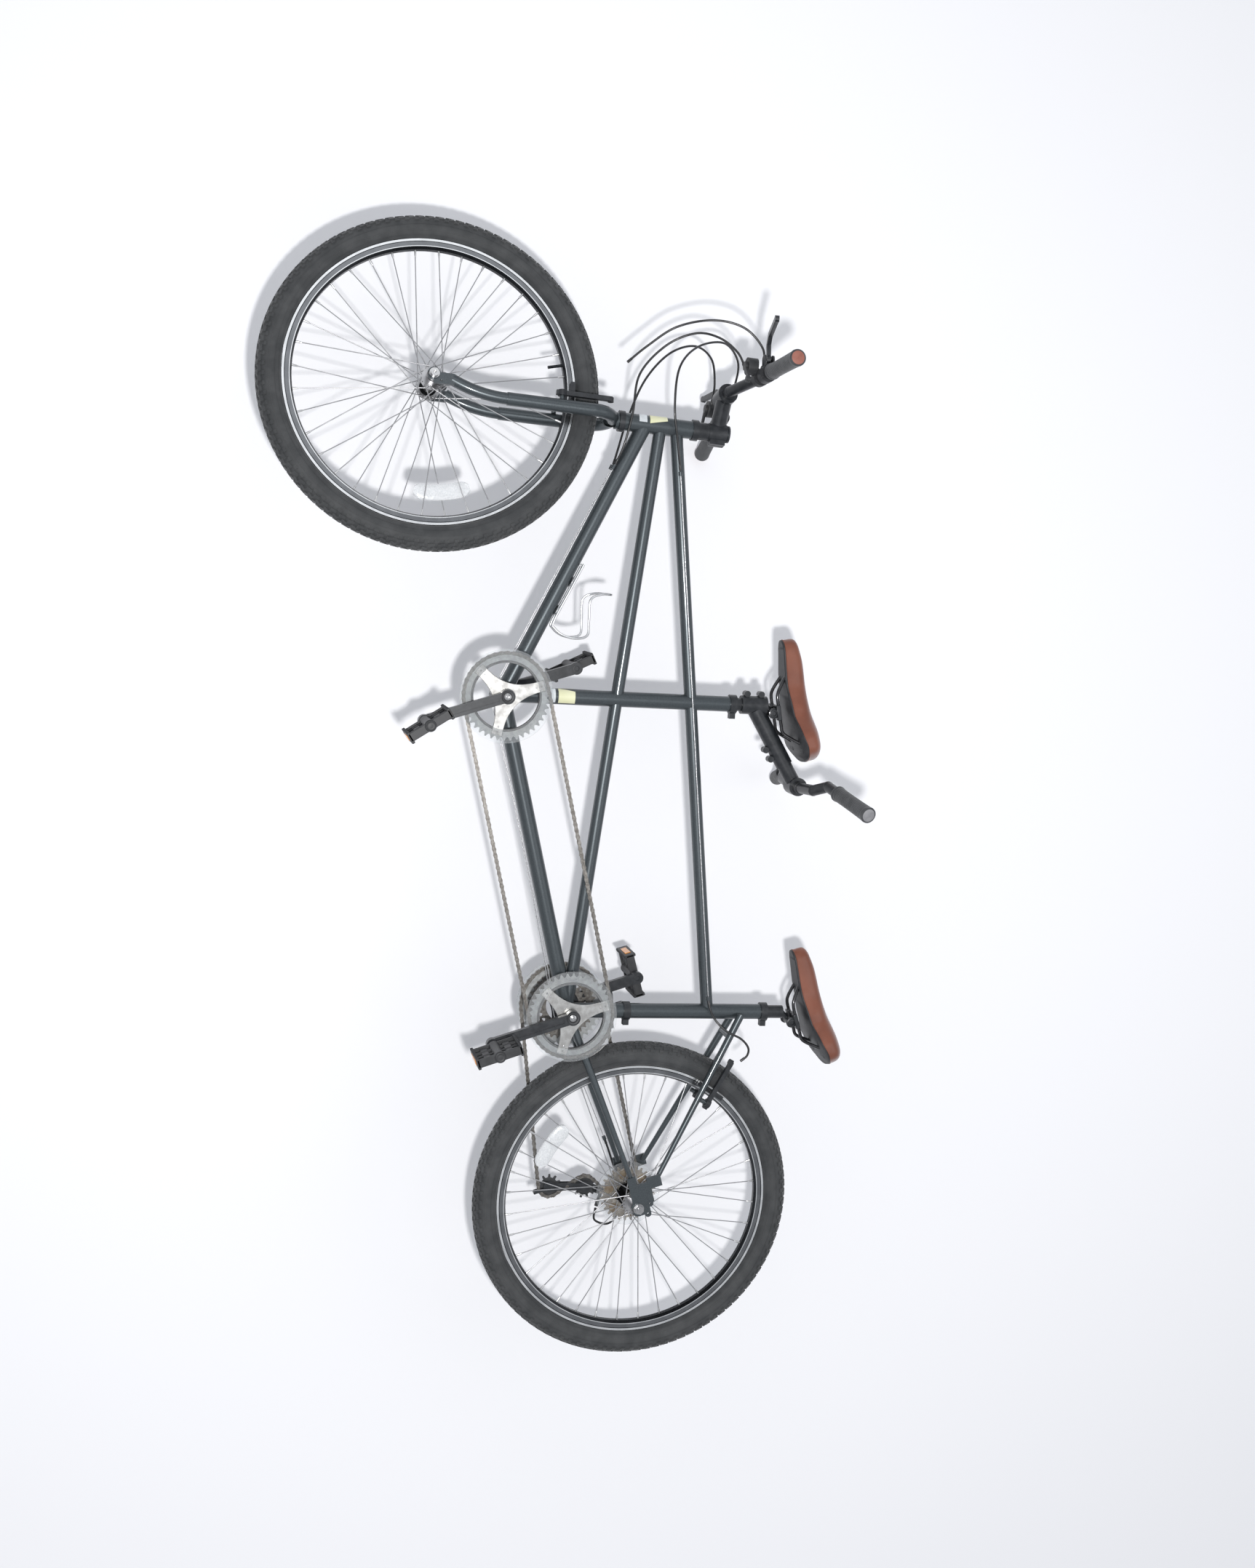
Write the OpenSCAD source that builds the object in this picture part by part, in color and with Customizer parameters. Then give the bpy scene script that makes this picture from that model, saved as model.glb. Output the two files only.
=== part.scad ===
// Tandem bicycle for two riders, built as separate named pieces.
// +X points forward, +Y to the riders' left and +Z up. The origin is the middle of the
// rear axle. The front assembly rests turned a little to the right.

/* [Wheels] */
// Distance between the two axles with the front wheel straight
wheelbase = 1716; // [1700:1:1730]
// Outer radius of the tyres
tyre_or = 335; // [333:0.5:336]
// Half of the tyre's section width
tyre_half = 27; // [26:0.5:27.5]
// Outer radius of the rim walls
rim_or = 285.5; // [285:0.1:286]
// Number of spokes in each wheel
spokes = 36; // [36:4:36]

/* [Frame] */
// Angle of the head tube above the ground
head_angle = 70.3; // [69.5:0.1:71]
// Length of the head tube
head_len = 140; // [138:1:142]
// Angle of both seat tubes above the ground
seat_angle = 73; // [72.5:0.1:73.5]
// Outer radius of the down, boom and seat tubes
main_r = 15.9; // [15:0.1:16.5]
// Outer radius of the top and lateral tubes
slim_r = 12.7; // [12:0.1:13.5]

/* [Steering] */
// How far the front assembly is turned to the right at rest
steer_rest = 14; // [0:1:20]
// Overall width of the captain's handlebar
bar_width = 644; // [630:1:650]
// Distance by which the front axle sits ahead of the steering axis
fork_rake = 28.5; // [27:0.5:30]

/* [Drive] */
// Length of each crank arm between spindle and pedal
crank_len = 170; // [165:1:175]
// Teeth on the two timing rings and on the largest drive ring
ring_teeth = 42; // [42:1:42]
// Teeth on the sprocket that carries the chain
cog_teeth = 16; // [16:1:16]
// How far the downward cranks lean back at rest
crank_lean = 1.5; // [0:0.5:3]

/* [Seats] */
// Length of both saddles
saddle_len = 256; // [250:1:262]
// Full width of both saddles at the back
saddle_w = 164; // [158:1:170]
// Width of the stoker's handlebar
stoker_width = 598; // [590:1:606]

/* [Hidden] */
$fn = 48;

// ---- places in the frame ----
front_bb = [1093, 0, -10];
rear_bb = [429, 0, -37];
head_up = [-cos(head_angle), 0, sin(head_angle)];
head_fwd = [sin(head_angle), 0, cos(head_angle)];
// the lower end of the head tube, set so that the straight front axle is at the wheelbase
axle_drop = 388.6;
head_low = [wheelbase, 0, 0] + axle_drop * head_up - fork_rake * head_fwd;
seat_up = [-cos(seat_angle), 0, sin(seat_angle)];
function on_head(s) = head_low + s * head_up;
function on_seat(bb, s) = bb + s * seat_up;
front_seat_len = 482;
rear_seat_len = 425;
seat_r = main_r;
post_r = 13.6;
head_r = 18;
bb_r = 20;
bb_half = 34;
wall = 1.6;
down_at = on_head(44);
lateral_at = on_head(76);
top_at = on_head(108);
top_end = on_seat(rear_bb, 299);
dropout_y = 67.5;
stay_front_y = 30;
chain_stay_r = 8.5;
seat_stay_r = 7.5;
stay_drop = [62, 0, 1];
stay_low = [46, 0, 52];
stay_top = on_seat(rear_bb, 366);

// ---- transmission ----
pitch = 12.7;
function gear_r(t) = pitch / (2 * sin(180 / t));
timing_y = 52;
drive_y = -55;
ring_r = gear_r(ring_teeth);
cog_r = gear_r(cog_teeth);
pulley_teeth = 11;
pulley_r = gear_r(pulley_teeth);
guide_at = [33, drive_y, -82];
tension_at = [56, drive_y, -155];
crank_angle = -90 - crank_lean;
pedal_y = 126;
tooth_t = 2;

// ---- basic solids ----
module along(p, q) {
  d = q - p;
  translate(p) rotate([0, acos(d[2] / norm(d)), atan2(d[1], d[0])]) children();
}
module rod(p, q, r, r2 = -1) {
  along(p, q) cylinder(h = norm(q - p), r1 = r, r2 = r2 < 0 ? r : r2);
}
module pipe(p, q, r, t = wall) {
  along(p, q) difference() {
    cylinder(h = norm(q - p), r = r);
    translate([0, 0, -1]) cylinder(h = norm(q - p) + 2, r = r - t);
  }
}
// a hole that runs a little past both ends of p to q
module bore_through(p, q, r) {
  u = (q - p) / norm(q - p);
  rod(p - 2 * u, q + 2 * u, r);
}
module y_disc(c, r, y0, y1) {
  translate([c[0], y0, c[2]]) rotate([-90, 0, 0]) cylinder(h = y1 - y0, r = r);
}
module mirrored_y() {
  children();
  mirror([0, 1, 0]) children();
}
// a ring of revolution about the wheel axis, from a profile of [radius, y] points
module spun(c) {
  translate(c) rotate([90, 0, 0]) rotate_extrude($fn = 96) children();
}
// a rod through several points; each bend is a ball a shade larger than the rod
module bent_rod(pts, r) {
  for (i = [0:len(pts) - 2]) rod(pts[i], pts[i + 1], r);
  for (i = [1:len(pts) - 2]) translate(pts[i]) sphere(r = r * 1.04);
}

// ---- the frame's coordinate systems ----
// local x forward across the steering axis, y left, z up along it
module steering() {
  translate(head_low) rotate([0, head_angle - 90, 0]) rotate([0, 0, -steer_rest]) children();
}
// origin on the rear axle, local z along the seat stays
stay_angle = 45;
module rear_brake_frame() {
  rotate([0, stay_angle, 0]) mirror([1, 0, 0]) children();
}
front_axle_local = [fork_rake, 0, -axle_drop];

// ---- frame tubes ----
module head_cut(r = head_r) {
  rod(on_head(-5), on_head(head_len + 5), r);
}
module bb_cut(bb, reach = 5) {
  y_disc(bb, bb_r, -bb_half - reach, bb_half + reach);
}
module seat_cut(bb, l, r = seat_r) {
  rod(bb, on_seat(bb, l), r);
}
module frame_shells() {
  color("darkslategray") {
    difference() {
      rod(on_head(0), on_head(head_len), head_r);
      rod(on_head(-1), on_head(head_len + 1), 15.2);
    }
    for (bb = [front_bb, rear_bb]) difference() {
      y_disc(bb, bb_r, -bb_half, bb_half);
      y_disc(bb, 17.5, -bb_half - 1, bb_half + 1);
    }
  }
}
module lower_tubes() {
  color("darkslategray") {
    difference() {
      pipe(front_bb, down_at, main_r);
      head_cut();
      bb_cut(front_bb);
      seat_cut(front_bb, front_seat_len);
      translate(cage_at(-1)) cage_axis() cylinder(h = 60, r = 2.1, center = true);
      translate(cage_at(1)) cage_axis() cylinder(h = 60, r = 2.1, center = true);
    }
    difference() {
      pipe(rear_bb, front_bb, main_r);
      bb_cut(front_bb);
      bb_cut(rear_bb);
      seat_cut(front_bb, front_seat_len);
      seat_cut(rear_bb, rear_seat_len);
      rod(front_bb, down_at, main_r);
    }
  }
}
module upper_tubes() {
  color("darkslategray") {
    difference() {
      pipe(top_end, top_at, slim_r);
      head_cut();
      seat_cut(front_bb, front_seat_len);
      seat_cut(rear_bb, rear_seat_len);
      rod(rear_bb, lateral_at, slim_r);
    }
    difference() {
      pipe(rear_bb, lateral_at, slim_r);
      head_cut();
      seat_cut(front_bb, front_seat_len);
      seat_cut(rear_bb, rear_seat_len);
      rod(rear_bb, front_bb, main_r);
      rod(front_bb, down_at, main_r);
      bb_cut(rear_bb);
    }
  }
}
module seat_tubes() {
  color("darkslategray") {
    difference() {
      pipe(front_bb, on_seat(front_bb, front_seat_len), seat_r, 2);
      bb_cut(front_bb);
    }
    difference() {
      pipe(rear_bb, on_seat(rear_bb, rear_seat_len), seat_r, 2);
      bb_cut(rear_bb);
    }
  }
}

// ---- rear stays, their bridges and the dropouts ----
// gap left for the weld bead between pieces
weld = 0.1;
chain_a = [rear_bb[0] - 12, stay_front_y, rear_bb[2]];
stay_end_r = 5;
stay_bore_r = 3.6;
chain_b = stay_drop + [0, dropout_y - stay_end_r - weld, 0];
stay_a = stay_top + [-2, 23.6, 0];
stay_b = stay_low + [0, dropout_y - stay_end_r - weld, 0];
module rear_stays() {
  color("darkslategray") {
    mirrored_y() difference() {
      rod(chain_a, chain_b, chain_stay_r, stay_end_r);
      bore_through(chain_a, chain_b, stay_bore_r);
      bb_cut(rear_bb, 20);
    }
    mirrored_y() difference() {
      rod(stay_a, stay_b, seat_stay_r + 0.5, stay_end_r);
      bore_through(stay_a, stay_b, stay_bore_r);
      seat_cut(rear_bb, rear_seat_len + 5);
    }
    bridge_z = stay_low + (stay_top - stay_low) * 0.86;
    bridge_x = [362, 0, -31];
    difference() {
      union() {
        rod(bridge_z - [0, 30, 0], bridge_z + [0, 30, 0], 6);
        rod(bridge_x - [0, 40, 0], bridge_x + [0, 40, 0], 6);
      }
      mirrored_y() {
        rod(chain_a, chain_b, chain_stay_r + weld, stay_end_r + weld);
        rod(stay_a, stay_b, seat_stay_r + 0.5 + weld, stay_end_r + weld);
      }
    }
  }
}
hanger_at = [8, -dropout_y - 2.5, -26];
eyelets = [[-16, 17], [4, 26]];
module dropout_plate() {
  difference() {
    union() {
      y_disc([0, 0, 0], 16, dropout_y, dropout_y + 5);
      translate([0, dropout_y, -9]) cube([68, 5, 18]);
      translate([6, dropout_y, 0]) cube([44, 5, 36]);
      translate([34, dropout_y, 30]) cube([24, 5, 30]);
      for (e = eyelets) y_disc([e[0], 0, e[1]], 7, dropout_y, dropout_y + 5);
      translate([-16, dropout_y, 4]) cube([22, 5, 20]);
    }
    y_disc([0, 0, 0], 5, dropout_y - 1, dropout_y + 6);
    translate([-5, dropout_y - 1, -20]) cube([10, 7, 20]);
    for (e = eyelets) y_disc([e[0], 0, e[1]], 2.1, dropout_y - 1, dropout_y + 6);
  }
}
boss_r = 254;
boss_y = 40;
module frame_fittings() {
  color("darkslategray") {
    dropout_plate();
    mirror([0, 1, 0]) dropout_plate();
    // derailleur hanger below the right dropout
    difference() {
      union() {
        y_disc(hanger_at, 9, -dropout_y - 5, -dropout_y);
        translate([2, -dropout_y - 5, -26]) cube([12, 5, 15]);
      }
      y_disc(hanger_at, 5, -dropout_y - 6, -dropout_y + 1);
    }
    // brake posts behind the seat stays
    difference() {
      rear_brake_frame() mirrored_y()
        rod([8, boss_y, boss_r], [31, boss_y, boss_r], 5);
      mirrored_y() rod(stay_a, stay_b, seat_stay_r + 0.5 + weld, stay_end_r + weld);
    }
    // cable stops: under the top tube's ends, on the down tube and on the right chain stay
    difference() {
      for (p = cable_stops) rod(p[0], p[1], 4);
      rod(top_end, top_at, slim_r + weld);
      mirror([0, 1, 0]) rod(chain_a, chain_b, chain_stay_r + weld, stay_end_r + weld);
    }
  }
}
cable_stops = [
  [[1436, 16.5, 442.7], [1428, 16.5, 441.3]],
  [[1479.6, 9, 315.9], [1472.6, 9, 309.56]],
  [[1479.6, -9, 315.9], [1472.6, -9, 309.56]],
  [[376, 16.5, 255], [368, 16.5, 253.6]],
  [[122, -66, -16], [114, -66, -15]],
];
module bearing_cups() {
  color("black") {
    for (s = [[-11, 0], [head_len, 12]]) difference() {
      rod(on_head(s[0]), on_head(s[0] + (s[1] > 0 ? 12 : 11)), 21);
      rod(on_head(s[0] - 1), on_head(s[0] + 14), 14.8);
    }
    for (bb = [front_bb, rear_bb]) mirrored_y() difference() {
      union() {
        y_disc(bb, 17.4, 14, bb_half);
        y_disc(bb, 19, bb_half, bb_half + 3);
      }
      y_disc(bb, 8.6, 10, bb_half + 5);
    }
  }
}
module collar(at, r_in, r_out, h) {
  difference() {
    union() {
      along(at, at + seat_up) cylinder(h = h, r = r_out);
      translate(at + seat_up * h / 2) rotate([0, -90 + seat_angle, 0])
        translate([-r_out - 10, -7, -h / 2 + 1]) cube([14, 14, h - 2]);
    }
    along(at - seat_up, at) cylinder(h = h + 4, r = r_in);
    translate(at + seat_up * h / 2) rotate([0, -90 + seat_angle, 0])
      translate([-r_out - 12, -1, -h]) cube([r_out, 2, 2 * h]);
  }
}
module tube_clamps() {
  color("black") {
    collar(on_seat(front_bb, front_seat_len - 12), seat_r, 19.5, 14);
    collar(on_seat(rear_bb, rear_seat_len - 12), seat_r, 19.5, 14);
    // band that carries the front derailleur on the rear seat tube
    collar(on_seat(rear_bb, 118), seat_r, 19, 14);
    difference() {
      translate(on_seat(rear_bb, 125)) translate([-4, -46, -5]) cube([12, 34, 10]);
      seat_cut(rear_bb, rear_seat_len, 19);
    }
  }
}

// ---- bottle cage, on the upper side of the down tube ----
down_dir = (down_at - front_bb) / norm(down_at - front_bb);
down_up = [-down_dir[2], 0, down_dir[0]];
cage_mid = front_bb + down_dir * 230;
cage_pitch = 64;
function cage_at(side) = cage_mid + down_dir * side * cage_pitch / 2 + down_up * main_r;
module cage_axis() {
  rotate([0, atan2(down_up[0], down_up[2]), 0]) children();
}
function on_cage(a, y, b) = cage_mid + down_dir * a + [0, y, 0] + down_up * (main_r + b);
wire_r = 2.5;
wire_b = 5.7;
cage_top = 74;
module bottle_cage() {
  color("silver") {
    // the two bolted plates
    for (side = [-1, 1]) difference() {
      rod(on_cage(side * cage_pitch / 2, 0, 0.1), on_cage(side * cage_pitch / 2, 0, 3), 11.5);
      rod(on_cage(side * cage_pitch / 2, 0, -1), on_cage(side * cage_pitch / 2, 0, 4), 2.6);
    }
    // the wires that cradle a bottle, and the bar between them
    mirrored_y() swept([
      on_cage(cage_top, 11, wire_b), on_cage(20, 11, wire_b), on_cage(-54, 11, wire_b),
      on_cage(-66, 13, 14), on_cage(-70, 18, 34), on_cage(-64, 26, 58), on_cage(-48, 34, 74),
      on_cage(-20, 37, 62), on_cage(16, 38, 46), on_cage(36, 34, 60), on_cage(46, 20, 80),
      on_cage(48, 3, 86)], wire_r, 3);
    rod(on_cage(cage_top - 4, -8.3, wire_b), on_cage(cage_top - 4, 8.3, wire_b), wire_r);
  }
}

// ---- chains, as two bands of side plates with room for the teeth between them ----
function tangent(c1, r1, c2, r2, side) =
  let (d = [c2[0] - c1[0], c2[2] - c1[2]], l = norm(d), a = atan2(d[1], d[0]),
       b = acos((r1 - r2) / l))
  [[c1[0] + r1 * cos(a + side * b), c1[2] + r1 * sin(a + side * b)],
   [c2[0] + r2 * cos(a + side * b), c2[2] + r2 * sin(a + side * b)]];
function arc_pts(c, r, a0, a1) =
  let (n = max(2, ceil(abs(a1 - a0) / 12)))
  [for (i = [0:n]) let (a = a0 + (a1 - a0) * i / n) [c[0] + r * cos(a), c[2] + r * sin(a)]];
function ang(c, p) = atan2(p[1] - c[2], p[0] - c[0]);
chain_h = 8.4;
plate_gap = 2.6;
plate_t = 2.2;
module band(pts, y) {
  for (side = [-1, 1])
    translate([0, y + side * (plate_gap + plate_t) / 2 + plate_t / 2, 0]) rotate([90, 0, 0])
      linear_extrude(height = plate_t) difference() {
        offset(delta = chain_h / 2) polygon(pts);
        offset(delta = -chain_h / 2) polygon(pts);
      }
}
module timing_chain() {
  top = tangent(rear_bb, ring_r, front_bb, ring_r, 1);
  low = tangent(rear_bb, ring_r, front_bb, ring_r, -1);
  tilt = ang(rear_bb, top[0]) - 90;
  pts = concat(arc_pts(front_bb, ring_r, 90 + tilt, -90 + tilt),
    arc_pts(rear_bb, ring_r, 270 + tilt, 90 + tilt));
  color("dimgray") band(pts, timing_y);
}
// the drive chain runs over the sprocket and the big ring, round the front of the guide
// pulley and behind the tension pulley
cog_c = [0, 0, 0];
function cross_tangent(c1, r1, c2, r2, side) =
  let (d = [c2[0] - c1[0], c2[2] - c1[2]], l = norm(d), a = atan2(d[1], d[0]),
       b = acos((r1 + r2) / l))
  [[c1[0] + r1 * cos(a + side * b), c1[2] + r1 * sin(a + side * b)],
   [c2[0] - r2 * cos(a + side * b), c2[2] - r2 * sin(a + side * b)]];
drive_top = tangent(cog_c, cog_r, rear_bb, ring_r, 1);
drive_low = tangent(tension_at, pulley_r, rear_bb, ring_r, -1);
cog_to_guide = cross_tangent(cog_c, cog_r, guide_at, pulley_r, -1);
guide_to_tension = cross_tangent(guide_at, pulley_r, tension_at, pulley_r, 1);
function turned(a, low) = a < low ? turned(a + 360, low) : a;
drive_path = concat(
  arc_pts(rear_bb, ring_r, ang(rear_bb, drive_top[1]), -360 + turned(ang(rear_bb, drive_low[1]), 0)),
  arc_pts(tension_at, pulley_r, -360 + turned(ang(tension_at, drive_low[0]), 0),
    -360 + turned(ang(tension_at, guide_to_tension[1]), 0)),
  arc_pts(guide_at, pulley_r, ang(guide_at, guide_to_tension[0]), ang(guide_at, cog_to_guide[1])),
  arc_pts(cog_c, cog_r, turned(ang(cog_c, cog_to_guide[0]), 0), ang(cog_c, drive_top[0])));
module drive_chain() {
  color("dimgray") band(drive_path, drive_y);
}

// ---- rear derailleur ----
cage_half = 5.2;
cage_plate = 1.6;
pivot_r = 4;
cage_out = drive_y - cage_half - cage_plate;
module rear_derailleur() {
  body_y = -dropout_y - 11;
  color("black") {
    // bolt through the hanger
    y_disc(hanger_at, 4.9, -dropout_y - 6, -dropout_y - 0.5);
    knuckle = [hanger_at[0] - 4, 0, hanger_at[2] - 24];
    difference() {
      union() {
        y_disc(hanger_at, 11, -dropout_y - 17, -dropout_y - 5.2);
        rod([hanger_at[0], body_y, hanger_at[2]], knuckle + [0, body_y, 0], 5.5);
        // parallelogram links down to the cage knuckle
        for (dx = [-5, 6])
          rod(knuckle + [dx, body_y, 0], [guide_at[0] - 8 + dx, body_y, guide_at[2] + 2], 4);
        y_disc(guide_at, 11, -dropout_y - 14, cage_out - 0.4);
      }
      y_disc(guide_at, pivot_r + 0.05, -72, cage_out);
    }
    // arm that takes the end of the housing
    rod([hanger_at[0] - 6, body_y + 1, hanger_at[2] - 22], [-26, -dropout_y - 9, -66], 4);
  }
}
module cage_plate_shape(y) {
  difference() {
    union() {
      y_disc(guide_at, 12, y, y + cage_plate);
      y_disc(tension_at, 12, y, y + cage_plate);
      translate([guide_at[0], y, guide_at[2]])
        rotate([0, atan2(tension_at[0] - guide_at[0], tension_at[2] - guide_at[2]), 0])
          translate([-8, 0, 0]) cube([16, cage_plate, norm(tension_at - guide_at)]);
    }
    y_disc((guide_at + tension_at) / 2, 4, y - 1, y + cage_plate + 1);
  }
}
module derailleur_cage() {
  color("black") {
    // pivot in the derailleur's knuckle
    y_disc(guide_at, pivot_r, -71.5, cage_out + 0.5);
    cage_plate_shape(cage_out);
    cage_plate_shape(drive_y + cage_half);
    // bolts that the pulleys turn on
    for (c = [guide_at, tension_at])
      y_disc(c, 2.4, drive_y - cage_half - 0.2, drive_y + cage_half + 0.2);
    // guard pin that keeps the chain on the tension pulley
    y_disc(tension_at + [-4, 0, -33], 2.5, cage_out, drive_y + cage_half + cage_plate);
    for (y = [cage_out, drive_y + cage_half])
      translate([tension_at[0] - 6, y, tension_at[2] - 33]) cube([6, cage_plate, 30]);
  }
}
// teeth as tapered blocks round a disc, on the plane of the drive
module toothed(t, y, thick, r_in) {
  r = gear_r(t);
  rotate([90, 0, 0]) translate([0, 0, -y - thick / 2]) linear_extrude(height = thick) difference() {
    polygon([for (i = [0:t - 1]) for (k = [[-0.27, -3.6], [-0.13, 3.4], [0.13, 3.4], [0.27, -3.6]])
      let (a = 360 * (i + 0.5 + k[0]) / t) [(r + k[1]) * cos(a), (r + k[1]) * sin(a)]]);
    circle(r = r_in);
  }
}
module pulley(c) {
  difference() {
    union() {
      translate([c[0], 0, c[2]]) toothed(pulley_teeth, c[1], tooth_t, 4);
      y_disc(c, 9, c[1] - 3.2, c[1] + 3.2);
    }
    y_disc(c, 2.45, c[1] - 5, c[1] + 5);
  }
}
module guide_pulley() {
  color("dimgray") pulley(guide_at);
}
module tension_pulley() {
  color("dimgray") pulley(tension_at);
}
// front derailleur: two plates beside the upper run of the chain, clear of the guard's edge,
// joined above the chain and hung from a lug beside the arm of the clamp band
fd_outer_y = -61.1;
fd_inner_y = -48.8;
fd_plate = 1.2;
fd_in_r = 95.5;
fd_out_r = 109;
function on_ring(r, a) = [r * cos(a), r * sin(a)];
module fd_side(y) {
  translate([rear_bb[0], y + fd_plate, rear_bb[2]]) rotate([90, 0, 0])
    linear_extrude(height = fd_plate) polygon(concat(
      [for (a = [84:6:114]) on_ring(fd_in_r, a)],
      [[-44.5, 84.6], [-78, 82], [-80, 94]],
      [for (a = [114:-6:84]) on_ring(fd_out_r, a)]));
}
module front_derailleur() {
  color("black") {
    fd_side(fd_outer_y);
    fd_side(fd_inner_y);
    translate([rear_bb[0] - 52, fd_outer_y, rear_bb[2] + 96])
      cube([14, fd_inner_y + fd_plate - fd_outer_y, 3]);
    translate([rear_bb[0] - 44, fd_inner_y, rear_bb[2] + 97]) cube([16, fd_plate, 26]);
  }
}

// ---- cables ----
// a tube swept along points, closed at both ends
function unit(v) = v / norm(v);
function smooth(p, n) = [for (i = [0:len(p) - 2]) for (k = [0:n - 1])
    let (t = k / n, a = p[max(i - 1, 0)], b = p[i], c = p[i + 1], d = p[min(i + 2, len(p) - 1)])
    0.5 * (2 * b + (c - a) * t + (2 * a - 5 * b + 4 * c - d) * t * t
      + (3 * b - a - 3 * c + d) * t * t * t),
  p[len(p) - 1]];
module swept(route, r, n = 4) {
  p = smooth(route, n);
  m = len(p);
  sides = 8;
  dirs = [for (i = [0:m - 1]) unit(p[min(i + 1, m - 1)] - p[max(i - 1, 0)])];
  ref = abs(dirs[0][1]) > 0.8 ? [0, 0, 1] : [0, 1, 0];
  pts = [for (i = [0:m - 1]) let (u = unit(cross(ref, dirs[i])), v = cross(dirs[i], u))
    for (k = [0:sides - 1]) p[i] + r * (cos(360 * k / sides) * u + sin(360 * k / sides) * v)];
  walls = [for (i = [0:m - 2]) for (k = [0:sides - 1])
    [i * sides + k, (i + 1) * sides + k, (i + 1) * sides + (k + 1) % sides, i * sides + (k + 1) % sides]];
  polyhedron(points = pts, faces = concat([[for (k = [0:sides - 1]) k]], walls,
    [[for (k = [0:sides - 1]) (m - 1) * sides + sides - 1 - k]]), convexity = 6);
}
housing_r = 2.3;
wire_cable_r = 1;
// each route runs from its lever to its stop on the frame, or to the noodle of the brake
left_shift_route = [
  [1603, 89, 597], [1636, 82, 592], [1672, 70, 566], [1692, 48, 526], [1682, 30, 466],
  [1640, 22, 404], [1570, 26, 372], [1512, 20, 341], [1481, 9.4, 318.5],
];
right_shift_route = [
  [1551, -136, 578], [1590, -128, 592], [1640, -104, 590], [1672, -70, 552], [1668, -46, 490],
  [1628, -34, 426], [1562, -28, 372], [1510, -19, 338], [1481, -9.4, 318.5],
];
rear_brake_route = [
  [1540, -149, 609], [1574, -138, 634], [1622, -108, 645], [1664, -62, 612], [1668, -20, 545],
  [1636, 26, 486], [1564, 36, 456], [1490, 26, 448], [1439, 16.7, 443.4],
];
front_brake_route = [
  [1598, 100, 631], [1634, 92, 640], [1680, 86, 614], [1708, 72, 560], [1712, 46, 492],
  [1690, 32, 430], [1668, 26, 384],
];
module steering_cables() {
  color("black") {
    swept(left_shift_route, housing_r);
    swept(right_shift_route, housing_r);
    swept(rear_brake_route, housing_r);
    swept(front_brake_route, housing_r);
  }
}
left_wire_route = [
  [1471.7, 9, 309.8], [1300, 9, 154.5], [1129, 9, -3], [1115, 9, -21], [1101, 9, -33],
  [1080, 9, -34], [1040, 8, -34], [760, 8, -43], [470, 4, -57], [440, -4, -61],
];
right_wire_route = [
  [1471.7, -9, 309.8], [1300, -9, 154.5], [1129, -9, -3], [1115, -9, -21], [1101, -9, -33],
  [1080, -9, -34], [1040, -8, -34], [760, -8, -43], [452, -10, -61], [416, -20, -61],
  [380, -40.5, -52], [300, -54, -40], [122.4, -66, -16],
];
brake_wire_route = [
  [1427.6, 17.5, 441.2], [1000, 17.5, 365.5], [600, 17.5, 294.7], [376.4, 17.5, 255],
];
brake_housing_route = [
  [367.4, 17.5, 253.5], [348, 24, 252], [326, 34, 256], [300, 43, 272], [278, 48, 296],
  [256, 50, 306], [240, 49, 300], [232, 47, 284],
];
gear_housing_route = [
  [113.4, -66, -15], [90, -73, -12], [50, -84, -8], [20, -92, -4], [-26, -92, -6],
  [-62, -90, -24], [-76, -86, -50], [-56, -80, -76], [-30, -76.5, -68],
];
module frame_cables() {
  color("gray") {
    swept(left_wire_route, wire_cable_r);
    swept(right_wire_route, wire_cable_r);
    swept(brake_wire_route, wire_cable_r);
    swept(brake_housing_route, housing_r);
    swept(gear_housing_route, housing_r);
  }
}

// ---- rear axle, and the quick release of the front wheel ----
axle_r = 5;
hub_fit = 0.05;
module rear_axle() {
  color("silver") {
    rod([0, -84, 0], [0, 84, 0], axle_r);
    mirrored_y() difference() {
      union() {
        y_disc([0, 0, 0], 8.5, 62, dropout_y);
        y_disc([0, 0, 0], 11, dropout_y + 5, dropout_y + 7);
        translate([0, dropout_y + 7, 0]) rotate([-90, 0, 0]) cylinder(h = 8, r = 9.5, $fn = 6);
      }
      y_disc([0, 0, 0], axle_r, 50, 100);
    }
  }
}
front_dropout_y = 50;
front_axle_r = 4.5;
skewer_r = 2.5;
module at_front_axle() {
  steering() translate(front_axle_local) children();
}
module front_skewer() {
  color("silver") at_front_axle() {
    rod([0, -60, 0], [0, 62, 0], skewer_r);
    difference() {
      union() {
        rod([0, -67, 0], [0, -59, 0], skewer_r);
        at_quick_release() cylinder(h = 2 * eye_half, r = 4.5, center = true);
      }
      at_quick_release() cylinder(h = 20, r = pin_r + 0.05, center = true);
    }
    difference() {
      rod([0, -front_dropout_y - 4, 0], [0, front_dropout_y + 4, 0], front_axle_r);
      rod([0, -80, 0], [0, 80, 0], skewer_r);
    }
    mirrored_y() difference() {
      y_disc([0, 0, 0], 8, 45, front_dropout_y);
      y_disc([0, 0, 0], front_axle_r, 40, 60);
    }
    difference() {
      union() {
        y_disc([0, 0, 0], 10, front_dropout_y + 6, front_dropout_y + 11);
        y_disc([0, 0, 0], 8, front_dropout_y + 11, front_dropout_y + 17);
        y_disc([0, 0, 0], 9, -front_dropout_y - 12, -front_dropout_y - 6);
      }
      rod([0, -80, 0], [0, 80, 0], skewer_r);
    }
  }
}
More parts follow.
